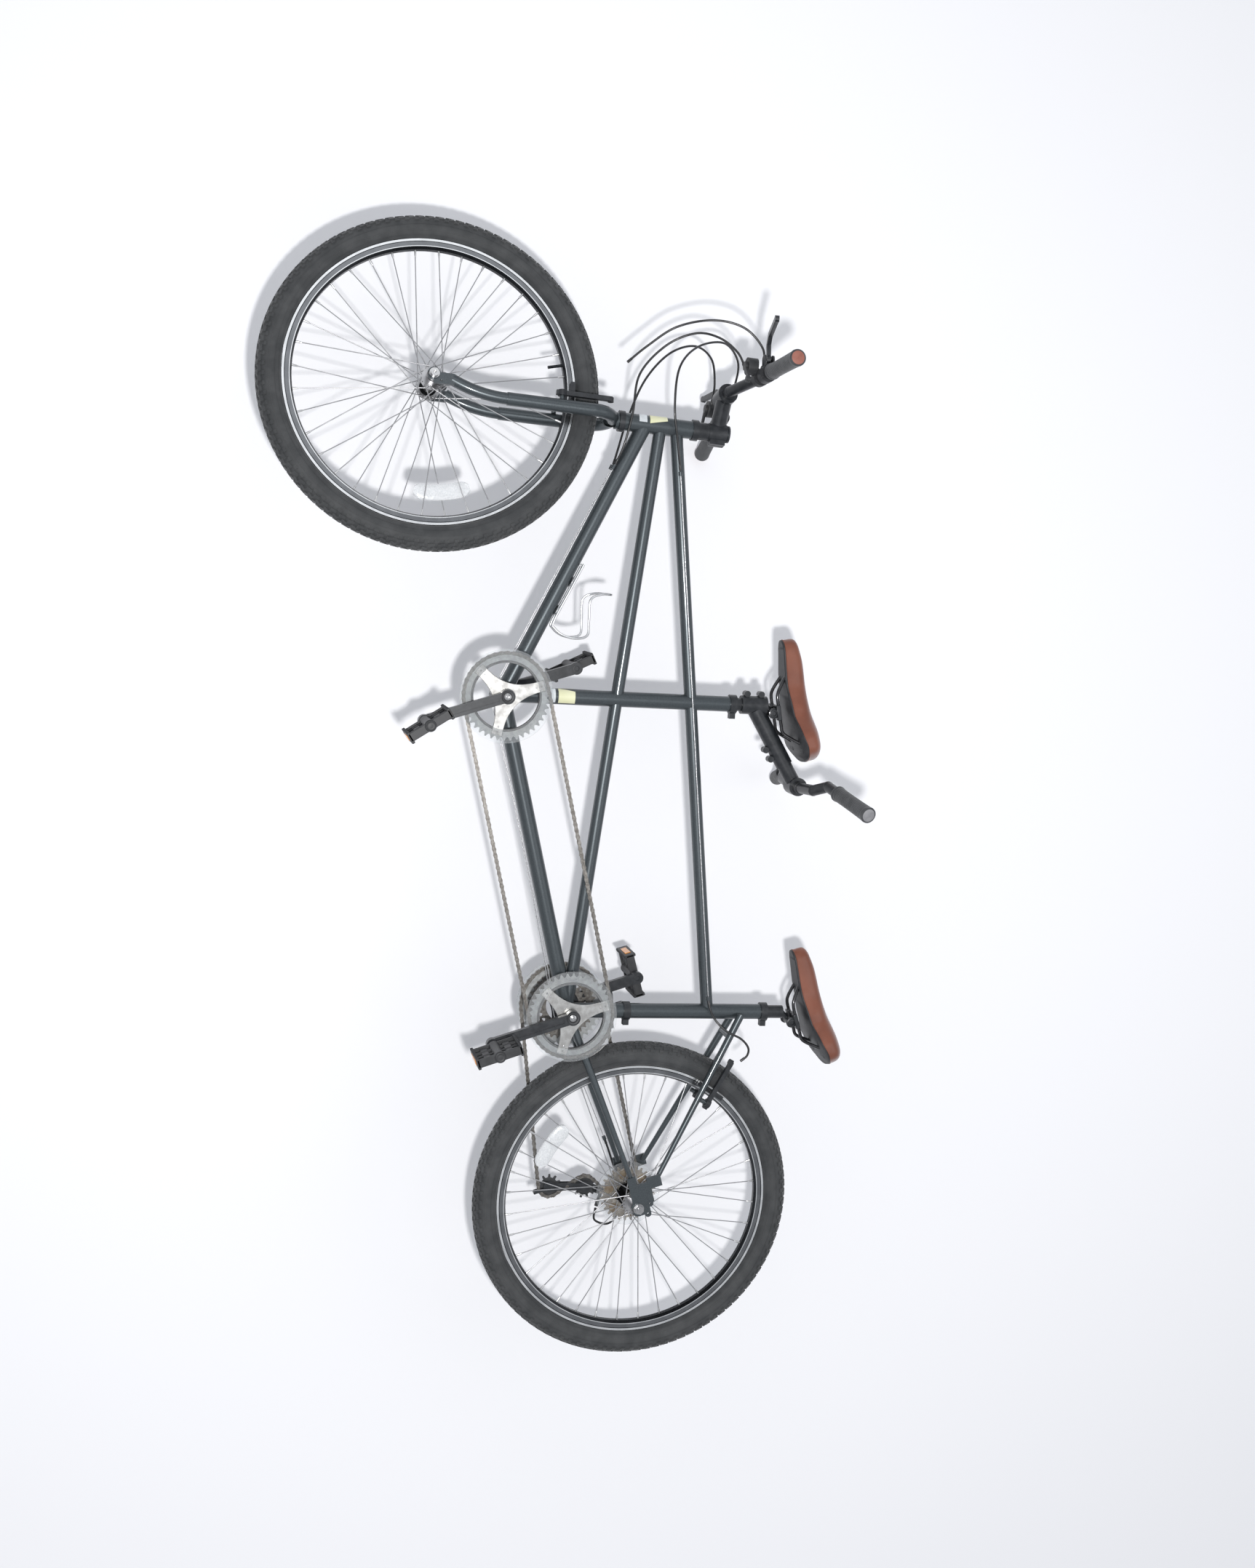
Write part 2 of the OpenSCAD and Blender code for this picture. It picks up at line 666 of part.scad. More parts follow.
// the quick release flips about a pin across the skewer's eye; local x is along the closed arm
qr_y = -front_dropout_y - 20;
qr_turn = -62;
eye_half = 3;
cheek_out = 6.3;
pin_r = 2;
module at_quick_release() {
  translate([0, qr_y, 0]) rotate([0, qr_turn, 0]) children();
}
module quick_release_lever() {
  color("black") at_front_axle() at_quick_release() {
    for (z = [-cheek_out, eye_half + 0.3]) translate([0, 0, z]) cylinder(h = 3, r = 7);
    cylinder(h = 2 * cheek_out, r = pin_r, center = true);
    translate([5.5, -4, -cheek_out]) cube([33.5, 6, 2 * cheek_out]);
    rod([39, -4, 0], [39, 2, 0], 7.5);
  }
}

// ---- wheels ----
rim_half = 11.8;
rim_in = 266;
tyre_mid_r = tyre_or - tyre_half;
module tyre_profile() {
  difference() {
    translate([tyre_mid_r, 0]) circle(r = tyre_half);
    translate([tyre_mid_r, 0]) circle(r = tyre_half - 4);
    translate([200, -7]) square([tyre_mid_r - 200, 14]);
    translate([200, -40]) square([rim_or + 0.2 - 200, 40 - rim_half + 2.1]);
    translate([200, rim_half - 2.1]) square([rim_or + 0.2 - 200, 40]);
  }
}
module rim_profile() {
  polygon([
    [rim_or, rim_half], [270, rim_half], [rim_in, 5], [rim_in, -5], [270, -rim_half],
    [rim_or, -rim_half], [rim_or, -rim_half + 2], [277, -rim_half + 2], [277, rim_half - 2],
    [rim_or, rim_half - 2],
  ]);
}
module hollow_rim_profile() {
  difference() {
    rim_profile();
    polygon([[275, rim_half - 2], [271, rim_half - 2], [268, 4],
      [268, -4], [271, -rim_half + 2], [275, -rim_half + 2]]);
  }
}
spoke_r = 1;
flange_pcr = 22;
hub_barrel_r = 14;
module hub_and_spokes(left_flange, right_flange, half_len, bore, barrel) {
  difference() {
    union() {
      rod([0, -half_len, 0], [0, half_len, 0], barrel);
      for (y = [left_flange, right_flange]) y_disc([0, 0, 0], 25, y - 1.4, y + 1.4);
    }
    rod([0, -half_len - 1, 0], [0, half_len + 1, 0], bore);
    for (y = [left_flange, right_flange]) for (j = [0:spokes / 2 - 1])
      rotate([0, j * 720 / spokes + (y > 0 ? 0 : 360 / spokes), 0])
        rod([flange_pcr, y - 2, 0], [flange_pcr, y + 2, 0], 1.2);
  }
  // three-cross lacing: each spoke leaves one face of its flange for the rim
  for (j = [0:spokes - 1]) {
    y = j % 2 == 0 ? left_flange : right_flange;
    lead = floor(j / 2) % 2 == 0 ? 1 : -1;
    rim_a = j * 360 / spokes;
    hub_a = rim_a + lead * 1080 / spokes * 2;
    face = y + (lead > 0 ? 4.4 : -3.1) * sign(y);
    rod([flange_pcr * cos(hub_a), face, flange_pcr * sin(hub_a)],
      [(rim_in - 0.5) * cos(rim_a), sign(y) * (1 + lead * 0.6), (rim_in - 0.5) * sin(rim_a)], spoke_r);
  }
}
module rear_tyre() {
  color("dimgray") spun([0, 0, 0]) tyre_profile();
}
module rear_rim() {
  color("silver") {
    spun([0, 0, 0]) hollow_rim_profile();
    rotate([0, -rear_valve_angle, 0]) rod([238, 0, 0], [rim_in, 0, 0], 3);
  }
}
rear_valve_angle = 145;
front_valve_angle = 75;
module rear_hub() {
  color("silver") hub_and_spokes(34, -20, 60, axle_r + hub_fit, hub_barrel_r);
}
module front_tyre() {
  color("dimgray") at_front_axle() spun([0, 0, 0]) tyre_profile();
}
module front_rim() {
  color("silver") at_front_axle() {
    spun([0, 0, 0]) hollow_rim_profile();
    rotate([0, -front_valve_angle, 0]) rod([238, 0, 0], [rim_in, 0, 0], 3);
  }
}
module front_hub() {
  color("silver") at_front_axle() hub_and_spokes(31, -31, 44.5, front_axle_r + hub_fit, 13);
}
cogs = [14, 16, 18, 20, 22, 24, 28];
cog_pitch = 5;
freewheel_bore = 14.4;
module freewheel() {
  color("sienna") difference() {
    union() {
      for (i = [0:6]) toothed(cogs[i], -60 + i * cog_pitch, 1.9, 20);
      rod([0, -61.5, 0], [0, -28.5, 0], 21);
    }
    rod([0, -70, 0], [0, -20, 0], freewheel_bore);
  }
}
module spoke_protector() {
  color("lightblue") difference() {
    rod([0, -27.6, 0], [0, -25.8, 0], 68);
    rod([0, -29, 0], [0, -22, 0], hub_barrel_r);
    for (j = [0:5]) rotate([0, j * 60, 0]) rod([42, -29, 0], [42, -22, 0], 10);
  }
}

// ---- cranks, rings and guards ----
spider_at = 89;
module spider(y, thick, reach) {
  for (k = [0:2]) rotate([0, -(spider_at + 120 * k), 0]) difference() {
    translate([8, y - thick / 2, -13]) cube([reach - 8, thick, 26]);
    translate([32, y - thick / 2 - 1, 13]) rotate([0, 12, 0])
      translate([-14, 0, 0]) cube([90, thick + 2, 20]);
    mirror([0, 0, 1]) translate([32, y - thick / 2 - 1, 13]) rotate([0, 12, 0])
      translate([-14, 0, 0]) cube([90, thick + 2, 20]);
  }
  y_disc([0, 0, 0], 24, y - thick / 2, y + thick / 2);
}
spindle_r = 8.5;
module timing_ring_set() {
  difference() {
    union() {
      toothed(ring_teeth, timing_y, tooth_t, 70);
      spider(timing_y + 2.6, 3, 79);
    }
    rod([0, timing_y - 5, 0], [0, timing_y + 10, 0], spindle_r);
  }
  // black backing ring behind the teeth
  difference() {
    rod([0, timing_y - 3.5, 0], [0, timing_y - 1, 0], 74);
    rod([0, timing_y - 5, 0], [0, timing_y + 5, 0], 65);
  }
}
module front_timing_ring() {
  color("darkgray") translate(front_bb) timing_ring_set();
}
module rear_chainrings() {
  color("darkgray") translate(rear_bb) {
    timing_ring_set();
    difference() {
      union() {
        toothed(ring_teeth, drive_y, tooth_t, 62);
        toothed(34, drive_y + 5.5, tooth_t, 50);
        toothed(24, drive_y + 11, tooth_t, 34);
        spider(drive_y + 2.75, 3.4, 68);
        spider(drive_y + 8.2, 3.4, 46);
      }
      rod([0, -70, 0], [0, -30, 0], spindle_r);
    }
  }
}
guard_r = 93;
guard_in = 66;
guard_t = 1.8;
guard_gap = 5;
module guard(y) {
  difference() {
    rod([0, y - guard_t / 2, 0], [0, y + guard_t / 2, 0], guard_r);
    rod([0, y - guard_t, 0], [0, y + guard_t, 0], guard_in);
  }
}
module front_ring_guard() {
  color("lightblue") translate(front_bb) guard(timing_y + guard_gap);
}
module rear_ring_guards() {
  color("lightblue") translate(rear_bb) {
    guard(timing_y + guard_gap);
    guard(drive_y - guard_gap);
  }
}
// gap round the spindle's ends and the pedal threads, so that each piece stays a solid
seat_gap = 0.05;
spindle_end_r = 7.5;
thread_r = 6.9;
pedal_axle_r = 4.5;
arm_in = 58.9;
// one arm from the spindle to the pedal eye, pointing along local +X
module crank_arm(side) {
  y0 = side > 0 ? 59 : -73;
  difference() {
    union() {
      y_disc([0, 0, 0], 15, y0, y0 + 14);
      y_disc([crank_len, 0, 0], 13, y0 + side * 4, y0 + 14 + side * 4);
      translate([0, y0 + side * 2, -11]) cube([crank_len, 12, 22]);
    }
    translate([18, side > 0 ? y0 + 12 : y0 - 1, -4]) cube([crank_len - 40, 3, 8]);
    y_disc([crank_len, 0, 0], thread_r + seat_gap, y0 - 10, y0 + 30);
    y_disc([0, 0, 0], spindle_end_r + seat_gap, y0 - 1, y0 + 20);
  }
}
module crank_pair(bb) {
  translate(bb) {
    rotate([0, -crank_angle, 0]) crank_arm(1);
    rotate([0, -crank_angle - 180, 0]) crank_arm(-1);
    rod([0, -arm_in, 0], [0, arm_in, 0], spindle_r);
    for (side = [-1, 1]) {
      a = side > 0 ? crank_angle : crank_angle + 180;
      eye = [crank_len * cos(a), 0, crank_len * sin(a)];
      rod([0, side * (arm_in - 1), 0], [0, side * 72, 0], spindle_end_r);
      rod(eye + [0, side * 63, 0], eye + [0, side * 79, 0], thread_r);
      rod(eye + [0, side * 78, 0], eye + [0, side * (pedal_y + 44), 0], pedal_axle_r);
    }
  }
}
module front_crank_arms() {
  color("black") crank_pair(front_bb);
}
module rear_crank_arms() {
  color("black") crank_pair(rear_bb);
}

// ---- pedals ----
function eye_at(bb, side) = let (a = side > 0 ? crank_angle : crank_angle + 180)
  bb + [crank_len * cos(a), 0, crank_len * sin(a)];
module pedal(bb, side, turn) {
  translate(eye_at(bb, side)) rotate([0, -turn, 0]) scale([1, side, 1]) difference() {
    union() {
      translate([-14, pedal_y - 42, -12]) cube([28, 88, 24]);
      for (x = [-47, 41]) translate([x, pedal_y - 40, -13]) cube([6, 84, 26]);
      for (y = [pedal_y - 42, pedal_y + 38]) translate([-46, y, -10]) cube([92, 8, 20]);
    }
    rod([0, 60, 0], [0, pedal_y + 44.4, 0], pedal_axle_r + 0.05);
  }
}
module front_left_pedal() {
  color("black") pedal(front_bb, 1, 73);
}
module front_right_pedal() {
  color("black") pedal(front_bb, -1, 80);
}
module rear_left_pedal() {
  color("black") pedal(rear_bb, 1, 88);
}
module rear_right_pedal() {
  color("black") pedal(rear_bb, -1, 0);
}

// ---- fork, stem and handlebar, in the steering's own coordinates ----
leg_y = 47;
leg_r = 13;
crown_z = -70.5;
crown_bend = 45;
bend_start = -244;
bend_r = 256;
bend_a = 25;
module ring_profile(r, t) {
  difference() {
    circle(r = r);
    circle(r = r - t);
  }
}
module fork_leg() {
  // crown bend, from the steerer out and down
  difference() {
    translate([0, leg_y - crown_bend, crown_z]) rotate([90, 0, 90])
      rotate_extrude(angle = 90, $fn = 64) translate([crown_bend, 0]) ring_profile(leg_r, 2.4);
    translate([-40, -60, crown_z - 22]) cube([80, 60, 92]);
    cylinder(h = 80, r = 14.3, center = true);
  }
  pipe([0, leg_y, bend_start], [0, leg_y, crown_z], leg_r, 2.4);
  // the raked lower end
  translate([bend_r, leg_y, bend_start]) rotate([90, 0, 0]) rotate([0, 0, 180])
    rotate_extrude(angle = bend_a, $fn = 96) translate([bend_r, 0]) ring_profile(leg_r - 1.5, 2.4);
}
module front_dropout() {
  difference() {
    union() {
      y_disc([0, 0, 0], 13, front_dropout_y, front_dropout_y + 6);
      translate([-18, front_dropout_y, 0]) cube([22, 6, 40]);
      y_disc([-12, 0, 14], 7, front_dropout_y, front_dropout_y + 6);
    }
    y_disc([0, 0, 0], front_axle_r, front_dropout_y - 1, front_dropout_y + 7);
    translate([-front_axle_r + 1, front_dropout_y - 1, -30]) cube([2 * front_axle_r - 2, 8, 27]);
    y_disc([-12, 0, 14], 2.1, front_dropout_y - 1, front_dropout_y + 7);
  }
}
module fork() {
  color("darkslategray") steering() {
    pipe([0, 0, -16], [0, 0, 213], 14.3, 2.4);
    difference() {
      rod([0, 0, -18], [0, 0, -11.4], 17);
      rod([0, 0, -30], [0, 0, 5], 14.3);
    }
    mirrored_y() fork_leg();
    translate(front_axle_local) {
      front_dropout();
      mirror([0, 1, 0]) front_dropout();
    }
    mirrored_y() rod([11, boss_y, boss_r - axle_drop], [35, boss_y, boss_r - axle_drop], 5);
  }
}
spacer_low = 152.4;
stem_low = 174;
stem_high = 211;
bar_at = [77.6, 0, 206.6];
bar_clamp_r = 12.7;
module front_stem() {
  color("black") steering() {
    // spacers, clamp and top cap on the steerer
    difference() {
      union() {
        for (k = [0:2]) rod([0, 0, spacer_low + 7.2 * k], [0, 0, spacer_low + 7.2 * k + 7.1], 17.5);
        rod([0, 0, stem_low], [0, 0, stem_high], 18.5);
        translate([-26, -9, stem_low + 3]) cube([14, 18, stem_high - stem_low - 6]);
      }
      rod([0, 0, 140], [0, 0, 220], 14.3);
      translate([-40, -1, 140]) cube([40, 2, 80]);
    }
    rod([0, 0, 213], [0, 0, 217], 17);
    // extension and bar clamp
    difference() {
      union() {
        rod([4, 0, 193], bar_at - [6, 0, 1], 16);
        rod(bar_at - [0, 23, 0], bar_at + [0, 23, 0], 20);
      }
      rod([0, 0, 150], [0, 0, 240], 18.5);
      rod(bar_at - [0, 60, 0], bar_at + [0, 60, 0], bar_clamp_r);
    }
  }
}
bar_r = 11.1;
rise_in = [77.6, 34, 206.6];
rise_out = [80, 112, 237];
bar_tip = [57, bar_width / 2 - 2, 252];
grip_len = 128;
function on_bar(y) = rise_out + (bar_tip - rise_out) * (y - rise_out[1]) / (bar_tip[1] - rise_out[1]);
module front_handlebar() {
  color("black") steering() {
    rod(rise_in - [0, 2 * rise_in[1], 0], rise_in, bar_clamp_r);
    mirrored_y() bent_rod([rise_in - [0, 1, 0], rise_in, rise_out, bar_tip], bar_r);
  }
}
module front_grips() {
  color("black") steering() mirrored_y() difference() {
    rod(on_bar(bar_tip[1] + 2 - grip_len), on_bar(bar_tip[1] + 2), 16);
    rod(on_bar(100), on_bar(bar_tip[1]), bar_r);
  }
}
// brake lever clamps and shifter pods on both sides
lever_pivot = [104, 166, 243];
shift_pivot = [96, 138, 218];
ear_half = 10;
slot_half = 6.6;
lever_pin_r = 2.45;
module lever_brackets() {
  color("black") steering() mirrored_y() difference() {
    union() {
      difference() {
        union() {
          rod(on_bar(156), on_bar(176), 16.5);
          translate([80, 157, lever_pivot[2] - ear_half]) cube([24, 18, 2 * ear_half]);
          rod(lever_pivot - [0, 0, ear_half], lever_pivot + [0, 0, ear_half], 9);
        }
        rod(lever_pivot - [0, 0, slot_half], lever_pivot + [0, 0, slot_half], 14);
      }
      rod(lever_pivot - [0, 0, ear_half], lever_pivot + [0, 0, ear_half], lever_pin_r);
      rod([85, 160, 243], [99, 132, 243], 5);
      // gear shifter: its clamp, neck and round pod
      rod(on_bar(124), on_bar(140), 16.5);
      rod(shift_pivot + [0, 0, -10], shift_pivot + [0, 0, 10], 17);
      rod(on_bar(132) + [8, 0, -4], shift_pivot, 8);
    }
    rod(rise_out, bar_tip, bar_r);
    rod(rise_in, rise_out, bar_r);
  }
}
// a flat blade from the pivot forward to its knuckle and out along the bar; local z is the pin
lever_drop = -8.5;
lever_t = 8;
blade_mid = [[0, 0], [32, -4], [46, 12], [51, 84]];
blade_w = 10;
module strip(p, q, w) {
  d = q - p;
  translate(p) rotate([0, 0, atan2(d[1], d[0])]) translate([0, -w / 2]) square([norm(d), w]);
}
module brake_lever() {
  translate(lever_pivot) difference() {
    rotate([lever_drop, 0, 0]) translate([0, 0, -lever_t / 2]) linear_extrude(height = lever_t) union() {
      circle(r = 8.5);
      for (i = [0:2]) strip(blade_mid[i], blade_mid[i + 1], blade_w);
      for (i = [1:2]) translate(blade_mid[i]) circle(r = blade_w * 0.53);
      translate(blade_mid[3]) circle(r = 6.5);
    }
    cylinder(h = 20, r = lever_pin_r + 0.05, center = true);
  }
}
module left_brake_lever() {
  color("black") steering() brake_lever();
}
module right_brake_lever() {
  color("black") steering() mirror([0, 1, 0]) brake_lever();
}
// thumb lever under the pod, with a raised end for the thumb
module shift_lever() {
  translate(shift_pivot + [0, 0, -15]) {
    linear_extrude(height = 4.6) union() {
      circle(r = 9);
      strip([0, 0], [-36, 28], 8);
    }
    translate([-36, 28, -4]) cylinder(h = 8.6, r = 6);
  }
}
module left_shift_lever() {
  color("black") steering() shift_lever();
}
module right_shift_lever() {
  color("black") steering() mirror([0, 1, 0]) shift_lever();
}

// ---- rim brakes: an arm on each post, with its pad beside the rim ----
// local origin on the axle, x the way the arm faces, z towards the brake
arm_len = 102;
pad_r = 279;
pad_len = 64;
module brake_arm(x0) {
  difference() {
    union() {
      rod([x0, boss_y, boss_r], [x0 + 11, boss_y, boss_r], 9);
      translate([x0 + 1, boss_y - 4, boss_r - 12]) cube([9, 9, arm_len + 10]);
      rod([x0 + 1, boss_y - 4, boss_r + arm_len - 4], [x0 + 10, boss_y - 4, boss_r + arm_len - 4], 6);
    }
    rod([x0 - 1, boss_y, boss_r], [x0 + 12, boss_y, boss_r], 5.05);
  }
  // stud and pad, the pad square to the rim's radius at its middle
  mid_x = x0 + 5.5;
  pad_turn = asin(mid_x / pad_r);
  rod([mid_x, 21, pad_r * cos(pad_turn)], [mid_x, boss_y - 3.5, pad_r * cos(pad_turn)], 3);
  rotate([0, pad_turn, 0]) translate([-pad_len / 2, 14, pad_r - 5]) cube([pad_len, 8, 9]);
}
front_arm_x = -6;
rear_arm_x = 18.3;
module front_brake_arm_left() {
  color("black") at_front_axle() brake_arm(front_arm_x);
}
module front_brake_arm_right() {
  color("black") at_front_axle() mirror([0, 1, 0]) brake_arm(front_arm_x);
}
module rear_brake_arm_left() {
  color("black") rear_brake_frame() brake_arm(rear_arm_x);
}
module rear_brake_arm_right() {
  color("black") rear_brake_frame() mirror([0, 1, 0]) brake_arm(rear_arm_x);
}

// ---- seatposts ----
head_drop = 8;
head_barrel_r = 8;
// a post runs up its seat tube and ends in a head that clamps the saddle's rails
module seatpost(bb, tube_len, reach, depth, head) {
  top = on_seat(bb, reach);
  difference() {
    rod(on_seat(bb, tube_len - depth), top, post_r);
    rod(on_seat(bb, tube_len - depth - 1), on_seat(bb, reach - 20), post_r - 2.2);
  }
  rod(top, head - [0, 0, head_drop], 5);
  rod(head - [0, 20, head_drop], head + [0, 20, -head_drop], head_barrel_r);
}
front_head = [916, 0, 530];
rear_head = [272, 0, 423];
module front_seatpost() {
  color("black") seatpost(front_bb, front_seat_len, 550, 150, front_head);
}
module rear_seatpost() {
  color("black") seatpost(rear_bb, rear_seat_len, 462, 160, rear_head);
}

// ---- saddles: a rounded shell and two rails ----
// local origin at the rail clamp, x forward
saddle_back = 112;
rail_y = 22;
saddle_h = 40;
lobe_r = 44;
module saddle_outline(grow) {
  hull() {
    for (side = [-1, 1]) translate([-saddle_back + lobe_r, side * (saddle_w / 2 - lobe_r)])
      circle(r = lobe_r + grow, $fn = 32);
    translate([-10, 0]) circle(r = lobe_r + grow, $fn = 32);
  }
  hull() {
    translate([-10, 0]) circle(r = 42 + grow, $fn = 32);
    translate([saddle_len - saddle_back - 20, 0]) circle(r = 20 + grow, $fn = 32);
  }
}
module saddle() {
  translate([0, 0, 38]) linear_extrude(height = saddle_h - 12) saddle_outline(0);
  translate([0, 0, 38 + saddle_h - 12]) linear_extrude(height = 12) saddle_outline(-9);
  mirrored_y() difference() {
    bent_rod([[-72, rail_y + 10, 40], [-44, rail_y, 4], [34, rail_y, 4], [86, 10, 40]], 3.5);
    translate([-150, -100, 38]) cube([300, 200, 60]);
  }
  // rail clamp
  difference() {
    translate([-16, -29, -3]) cube([32, 58, 8]);
    rod([0, -40, -head_drop], [0, 40, -head_drop], head_barrel_r + 0.3);
  }
}
// the saddle tilts about the middle of its seatpost's head
module tilted_saddle(head, tilt) {
  translate(head - [0, 0, head_drop]) rotate([0, tilt, 0]) translate([0, 0, head_drop]) saddle();
}
front_saddle_tilt = -5;
rear_saddle_tilt = 1;
module front_saddle() {
  color("sienna") tilted_saddle(front_head, front_saddle_tilt);
}
module rear_saddle() {
  color("sienna") tilted_saddle(rear_head, rear_saddle_tilt);
}

// ---- the stoker's stem and handlebar, on the captain's seatpost ----
stoker_s = 522;
stoker_bar_at = [754, 0, 539];
stoker_way = stoker_bar_at - on_seat(front_bb, stoker_s);
stoker_dir = stoker_way / norm(stoker_way);
function on_stoker(a) = on_seat(front_bb, stoker_s) + stoker_dir * a;
outer_r = 17.5;
inner_r = 15;
inner_fit = 0.05;
module stoker_stem() {
  color("black") {
    difference() {
      union() {
        rod(on_seat(front_bb, stoker_s - 27), on_seat(front_bb, stoker_s + 27), 19);
        rod(on_stoker(10), on_stoker(142), outer_r);
        // pinch ears under the sleeve and on the post clamp
        for (a = [100, 122]) rod(on_stoker(a) + [0, -9, -22], on_stoker(a) + [0, 9, -22], 6.5);
        for (s = [-15, 15]) {
          lug = on_seat(front_bb, stoker_s + s) + [22, 0, 6];
          rod(lug + [0, -9, 0], lug + [0, 9, 0], 6.5);
        }
      }
      rod(on_seat(front_bb, stoker_s - 40), on_seat(front_bb, stoker_s + 40), post_r);
      rod(on_stoker(30), on_stoker(160), inner_r + inner_fit);
    }
  }
}
module stoker_extension() {
  color("black") difference() {
    union() {
      rod(on_stoker(70), stoker_bar_at - stoker_dir * 6, inner_r);
      rod(stoker_bar_at - [0, 22, 0], stoker_bar_at + [0, 22, 0], 19);
    }
    rod(on_stoker(60), on_stoker(150), inner_r - 2.5);
    rod(stoker_bar_at - [0, 40, 0], stoker_bar_at + [0, 40, 0], bar_clamp_r);
  }
}
stoker_mid = [756, 104, 545];
stoker_rise = [763, 142, 566];
stoker_tip = [721, stoker_width / 2 - 2, 586];
stoker_grip_y = 180;
function on_stoker_bar(y) =
  stoker_rise + (stoker_tip - stoker_rise) * (y - stoker_rise[1]) / (stoker_tip[1] - stoker_rise[1]);
module stoker_bar() {
  color("black") {
    rod(stoker_bar_at - [0, 40, 0], stoker_bar_at + [0, 40, 0], bar_clamp_r);
    mirrored_y() bent_rod([stoker_bar_at + [0, 38, 0], stoker_mid, stoker_rise, stoker_tip], bar_r);
  }
}
module stoker_grips() {
  color("black") mirrored_y() difference() {
    rod(on_stoker_bar(stoker_grip_y), on_stoker_bar(stoker_tip[1] + 2), 16);
    rod(on_stoker_bar(stoker_grip_y - 20), on_stoker_bar(stoker_tip[1]), bar_r);
  }
}

frame_shells();
lower_tubes();
upper_tubes();
seat_tubes();
rear_stays();
frame_fittings();
bearing_cups();
tube_clamps();
bottle_cage();
timing_chain();
drive_chain();
front_derailleur();
rear_derailleur();
derailleur_cage();
guide_pulley();
tension_pulley();
frame_cables();
steering_cables();
rear_axle();
rear_tyre();
rear_rim();
rear_hub();
freewheel();
spoke_protector();
front_tyre();
front_rim();
front_hub();
fork();
front_stem();
front_handlebar();
front_grips();
lever_brackets();
left_brake_lever();
right_brake_lever();
left_shift_lever();
right_shift_lever();
front_skewer();
quick_release_lever();
front_brake_arm_left();
front_brake_arm_right();
rear_brake_arm_left();
rear_brake_arm_right();
front_crank_arms();
front_timing_ring();
front_ring_guard();
rear_crank_arms();
rear_chainrings();
rear_ring_guards();
front_left_pedal();
front_right_pedal();
rear_left_pedal();
rear_right_pedal();
front_seatpost();
rear_seatpost();
front_saddle();
rear_saddle();
stoker_stem();
stoker_extension();
stoker_bar();
stoker_grips();
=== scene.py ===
import math

import bmesh
import bpy
from mathutils import Matrix, Vector


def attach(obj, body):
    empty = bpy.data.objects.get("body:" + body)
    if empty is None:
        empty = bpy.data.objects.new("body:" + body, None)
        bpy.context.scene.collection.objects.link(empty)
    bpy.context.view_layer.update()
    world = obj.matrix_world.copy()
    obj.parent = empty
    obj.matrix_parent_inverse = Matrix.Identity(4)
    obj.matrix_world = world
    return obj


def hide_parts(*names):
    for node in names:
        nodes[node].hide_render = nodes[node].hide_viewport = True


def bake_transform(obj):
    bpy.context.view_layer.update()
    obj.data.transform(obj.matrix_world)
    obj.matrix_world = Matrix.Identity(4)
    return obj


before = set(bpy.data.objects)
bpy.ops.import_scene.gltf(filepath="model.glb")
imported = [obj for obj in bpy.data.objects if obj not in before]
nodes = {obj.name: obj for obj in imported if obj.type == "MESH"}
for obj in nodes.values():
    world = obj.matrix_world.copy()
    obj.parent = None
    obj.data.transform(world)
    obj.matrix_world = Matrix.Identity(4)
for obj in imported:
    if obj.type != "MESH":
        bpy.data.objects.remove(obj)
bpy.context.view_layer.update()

# ---------------------------------------------------------------- places, in metres
WHEELBASE = 1.716
FRONT_BB = Vector((1.093, 0, -0.010))
REAR_BB = Vector((0.429, 0, -0.037))
HEAD_ANGLE = math.radians(70.3)
SEAT_ANGLE = math.radians(73)
HEAD_UP = Vector((-math.cos(HEAD_ANGLE), 0, math.sin(HEAD_ANGLE)))
HEAD_FWD = Vector((math.sin(HEAD_ANGLE), 0, math.cos(HEAD_ANGLE)))
SEAT_UP = Vector((-math.cos(SEAT_ANGLE), 0, math.sin(SEAT_ANGLE)))
HEAD_LOW = Vector((WHEELBASE, 0, 0)) + 0.3886 * HEAD_UP - 0.0285 * HEAD_FWD
# the turned steering's own axes and origin
STEER_X = Vector((0.913506, -0.241922, 0.327082))
STEER_Y = Vector((0.227762, 0.970296, 0.081551))
FRONT_AXLE = Vector((1.71520, -0.00690, -0.00029))
TUBE_R = 0.0159
TYRE_R = 0.335
TYRE_HALF = 0.027
TYRE_MID = TYRE_R - TYRE_HALF
RIM_IN = 0.266
SPOKES = 36
PITCH = 0.0127
TIMING_Y = 0.052
DRIVE_Y = -0.055
CHAIN_GUIDE = (0.033, -0.082)
CHAIN_TENSION = (0.056, -0.155)


def steer(x, y, z):
    """A point in the steering's own coordinates, as a point in the row frame."""
    return HEAD_LOW + x * STEER_X + y * STEER_Y + z * HEAD_UP


def gear_r(teeth):
    return PITCH / (2 * math.sin(math.pi / teeth))


